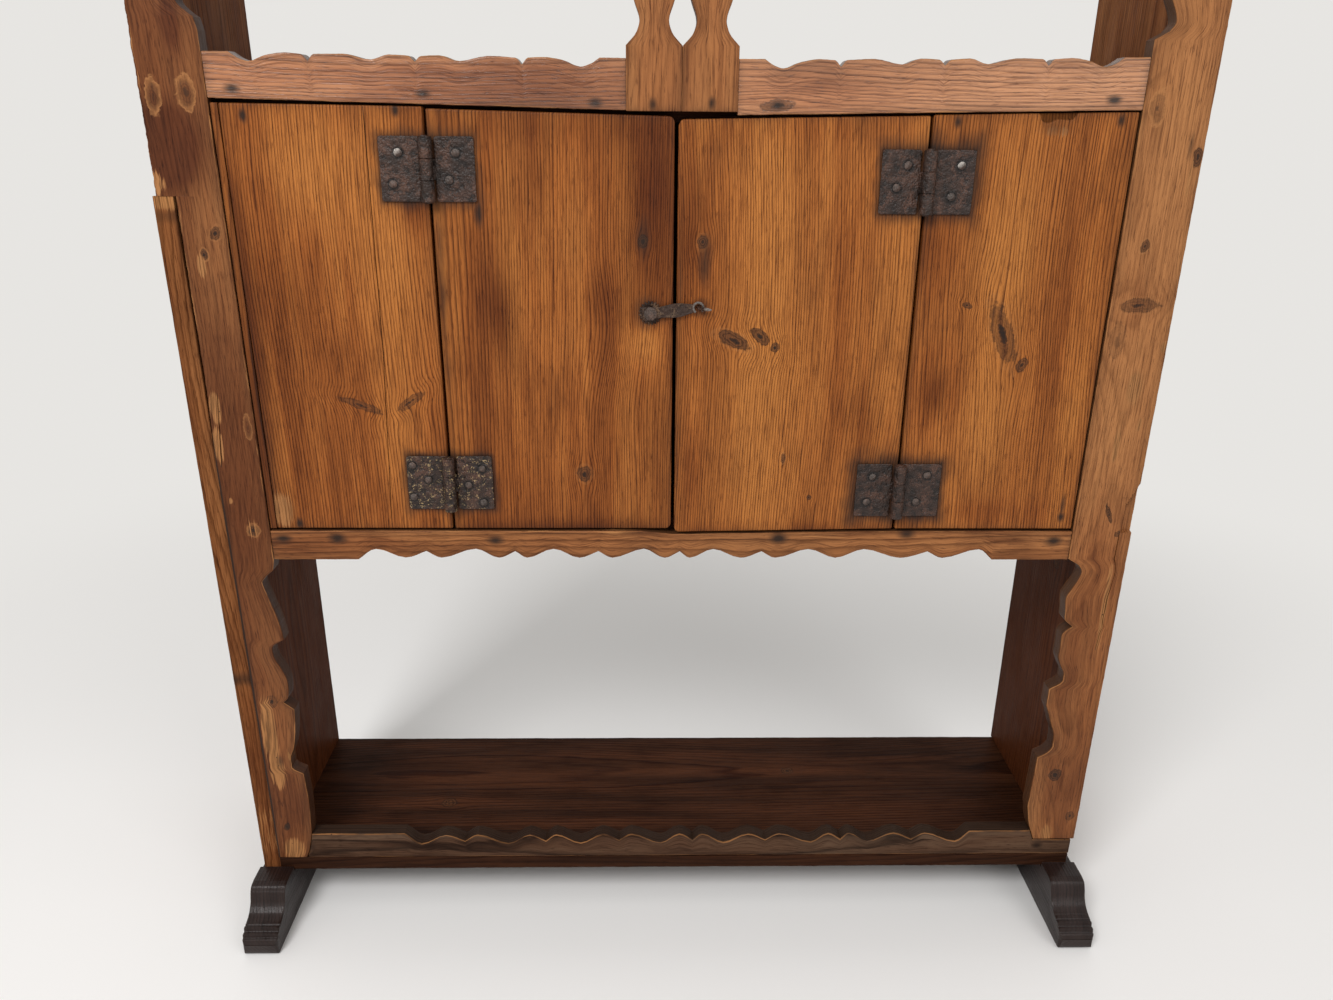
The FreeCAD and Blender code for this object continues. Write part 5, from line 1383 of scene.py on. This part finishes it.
class CABINET_OT_stage(bpy.types.Operator):
    """Lay the floor, light it softly and set the camera at the photograph's angle"""

    bl_idname = "cabinet.stage"
    bl_label = "Stage"

    def execute(self, context):
        scene = context.scene
        looks = scene.cabinet_stage
        span = np.linspace(-FLOOR_REACH, FLOOR_REACH, FLOOR_LINES)
        x, y = np.meshgrid(span, span)
        places = np.stack([x.ravel(), y.ravel(), np.zeros(x.size)], axis=1)
        row = np.arange(FLOOR_LINES - 1)[:, None] * FLOOR_LINES + np.arange(FLOOR_LINES - 1)[None, :]
        faces = np.stack([row, row + 1, row + FLOOR_LINES + 1, row + FLOOR_LINES], axis=-1).reshape(-1, 4)
        mesh = bpy.data.meshes.new("floor")
        mesh.from_pydata(places.tolist(), [], faces.tolist())
        n = Nodes(bpy.data.materials.new("floor"))
        tint = n.range(n.noise(n.place(), 1.3, 2.0), 0.3, 0.7)
        n.finish(Base_Color=n.mix(tint, looks.floor, scaled(looks.floor, 0.985)), Roughness=0.5)
        x, y, _ = n.parts(n.place())
        away = n.math("SQRT", n.plus(n.times(x, x), n.times(y, y)))
        haze = n.times(n.range(away, *HAZE, step="SMOOTHSTEP"), n.seen_rays())
        n.show("Material Output", haze, n.shader.outputs[0], "Emission", looks.backdrop)
        mesh.materials.append(n.owner)
        floor = bpy.data.objects.new("floor", mesh)
        scene.collection.objects.link(floor)

        scene.world = bpy.data.worlds.new("sky")
        n = Nodes(scene.world)
        sky = n.tree.nodes["Background"]
        sky.inputs["Color"].default_value = (*looks.sky_tint, 1.0)
        sky.inputs["Strength"].default_value = looks.sky
        n.show("World Output", n.seen_rays(), sky.outputs[0], "Background", looks.backdrop)

        for name, place, target, width, power in LAMPS:
            light = bpy.data.lights.new(name, "AREA")
            light.size = width
            light.energy = getattr(looks, power)
            lamp = bpy.data.objects.new(name, light)
            scene.collection.objects.link(lamp)
            lamp.location = place
            lamp.rotation_euler = (Vector(target) - Vector(place)).to_track_quat("-Z", "Y").to_euler()

        lens = bpy.data.cameras.new("camera")
        lens.lens = looks.focal
        lens.sensor_width = 36.0
        lens.clip_start = 0.05
        camera = bpy.data.objects.new("camera", lens)
        scene.collection.objects.link(camera)
        pitch, yaw, roll = looks.pitch, looks.yaw, looks.roll
        forward = Vector((math.sin(yaw) * math.cos(pitch), math.cos(yaw) * math.cos(pitch), -math.sin(pitch)))
        level = Vector((math.cos(yaw), -math.sin(yaw), 0.0))
        upright = level.cross(forward)
        right = level * math.cos(roll) + upright * math.sin(roll)
        up = upright * math.cos(roll) - level * math.sin(roll)
        turn = Matrix((right, up, -forward)).transposed()
        camera.matrix_world = Matrix.Translation(looks.stand) @ turn.to_4x4()
        scene.camera = camera
        scene.view_settings.view_transform = "Standard"
        return {"FINISHED"}


class CABINET_PT_panel(bpy.types.Panel):
    """The cabinet's pieces and settings"""

    bl_idname = "CABINET_PT_panel"
    bl_label = "Trastero cabinet"
    bl_space_type = "VIEW_3D"
    bl_region_type = "UI"
    bl_category = "Cabinet"

    def draw(self, context):
        for operator in OPERATORS:
            self.layout.operator(operator.bl_idname)
        for group in GROUPS:
            box = self.layout.box()
            box.label(text=group.capitalize())
            settings = getattr(context.scene, "cabinet_" + group)
            for name in settings.bl_rna.properties.keys():
                if name not in ("rna_type", "name"):
                    box.prop(settings, name)


OPERATORS = (
    CABINET_OT_sides, CABINET_OT_stiles, CABINET_OT_shelf, CABINET_OT_apron, CABINET_OT_gallery,
    CABINET_OT_balusters, CABINET_OT_top, CABINET_OT_cupboard, CABINET_OT_panels, CABINET_OT_doors,
    CABINET_OT_feet, CABINET_OT_hinges, CABINET_OT_latch, CABINET_OT_board_nails, CABINET_OT_stage,
)
GROUPS = {"wood": CABINET_PG_wood, "iron": CABINET_PG_iron, "wear": CABINET_PG_wear,
          "stage": CABINET_PG_stage}
CLASSES = tuple(GROUPS.values()) + OPERATORS + (CABINET_PT_panel,)


def register():
    for cls in CLASSES:
        bpy.utils.register_class(cls)
    for name, group in GROUPS.items():
        setattr(bpy.types.Scene, "cabinet_" + name, bpy.props.PointerProperty(type=group))


def unregister():
    for name in GROUPS:
        delattr(bpy.types.Scene, "cabinet_" + name)
    for cls in reversed(CLASSES):
        bpy.utils.unregister_class(cls)


def main():
    """Builds every piece and the stage."""
    register()
    for operator in OPERATORS:
        group, name = operator.bl_idname.split(".")
        getattr(getattr(bpy.ops, group), name)()


if __name__ == "__main__":
    main()
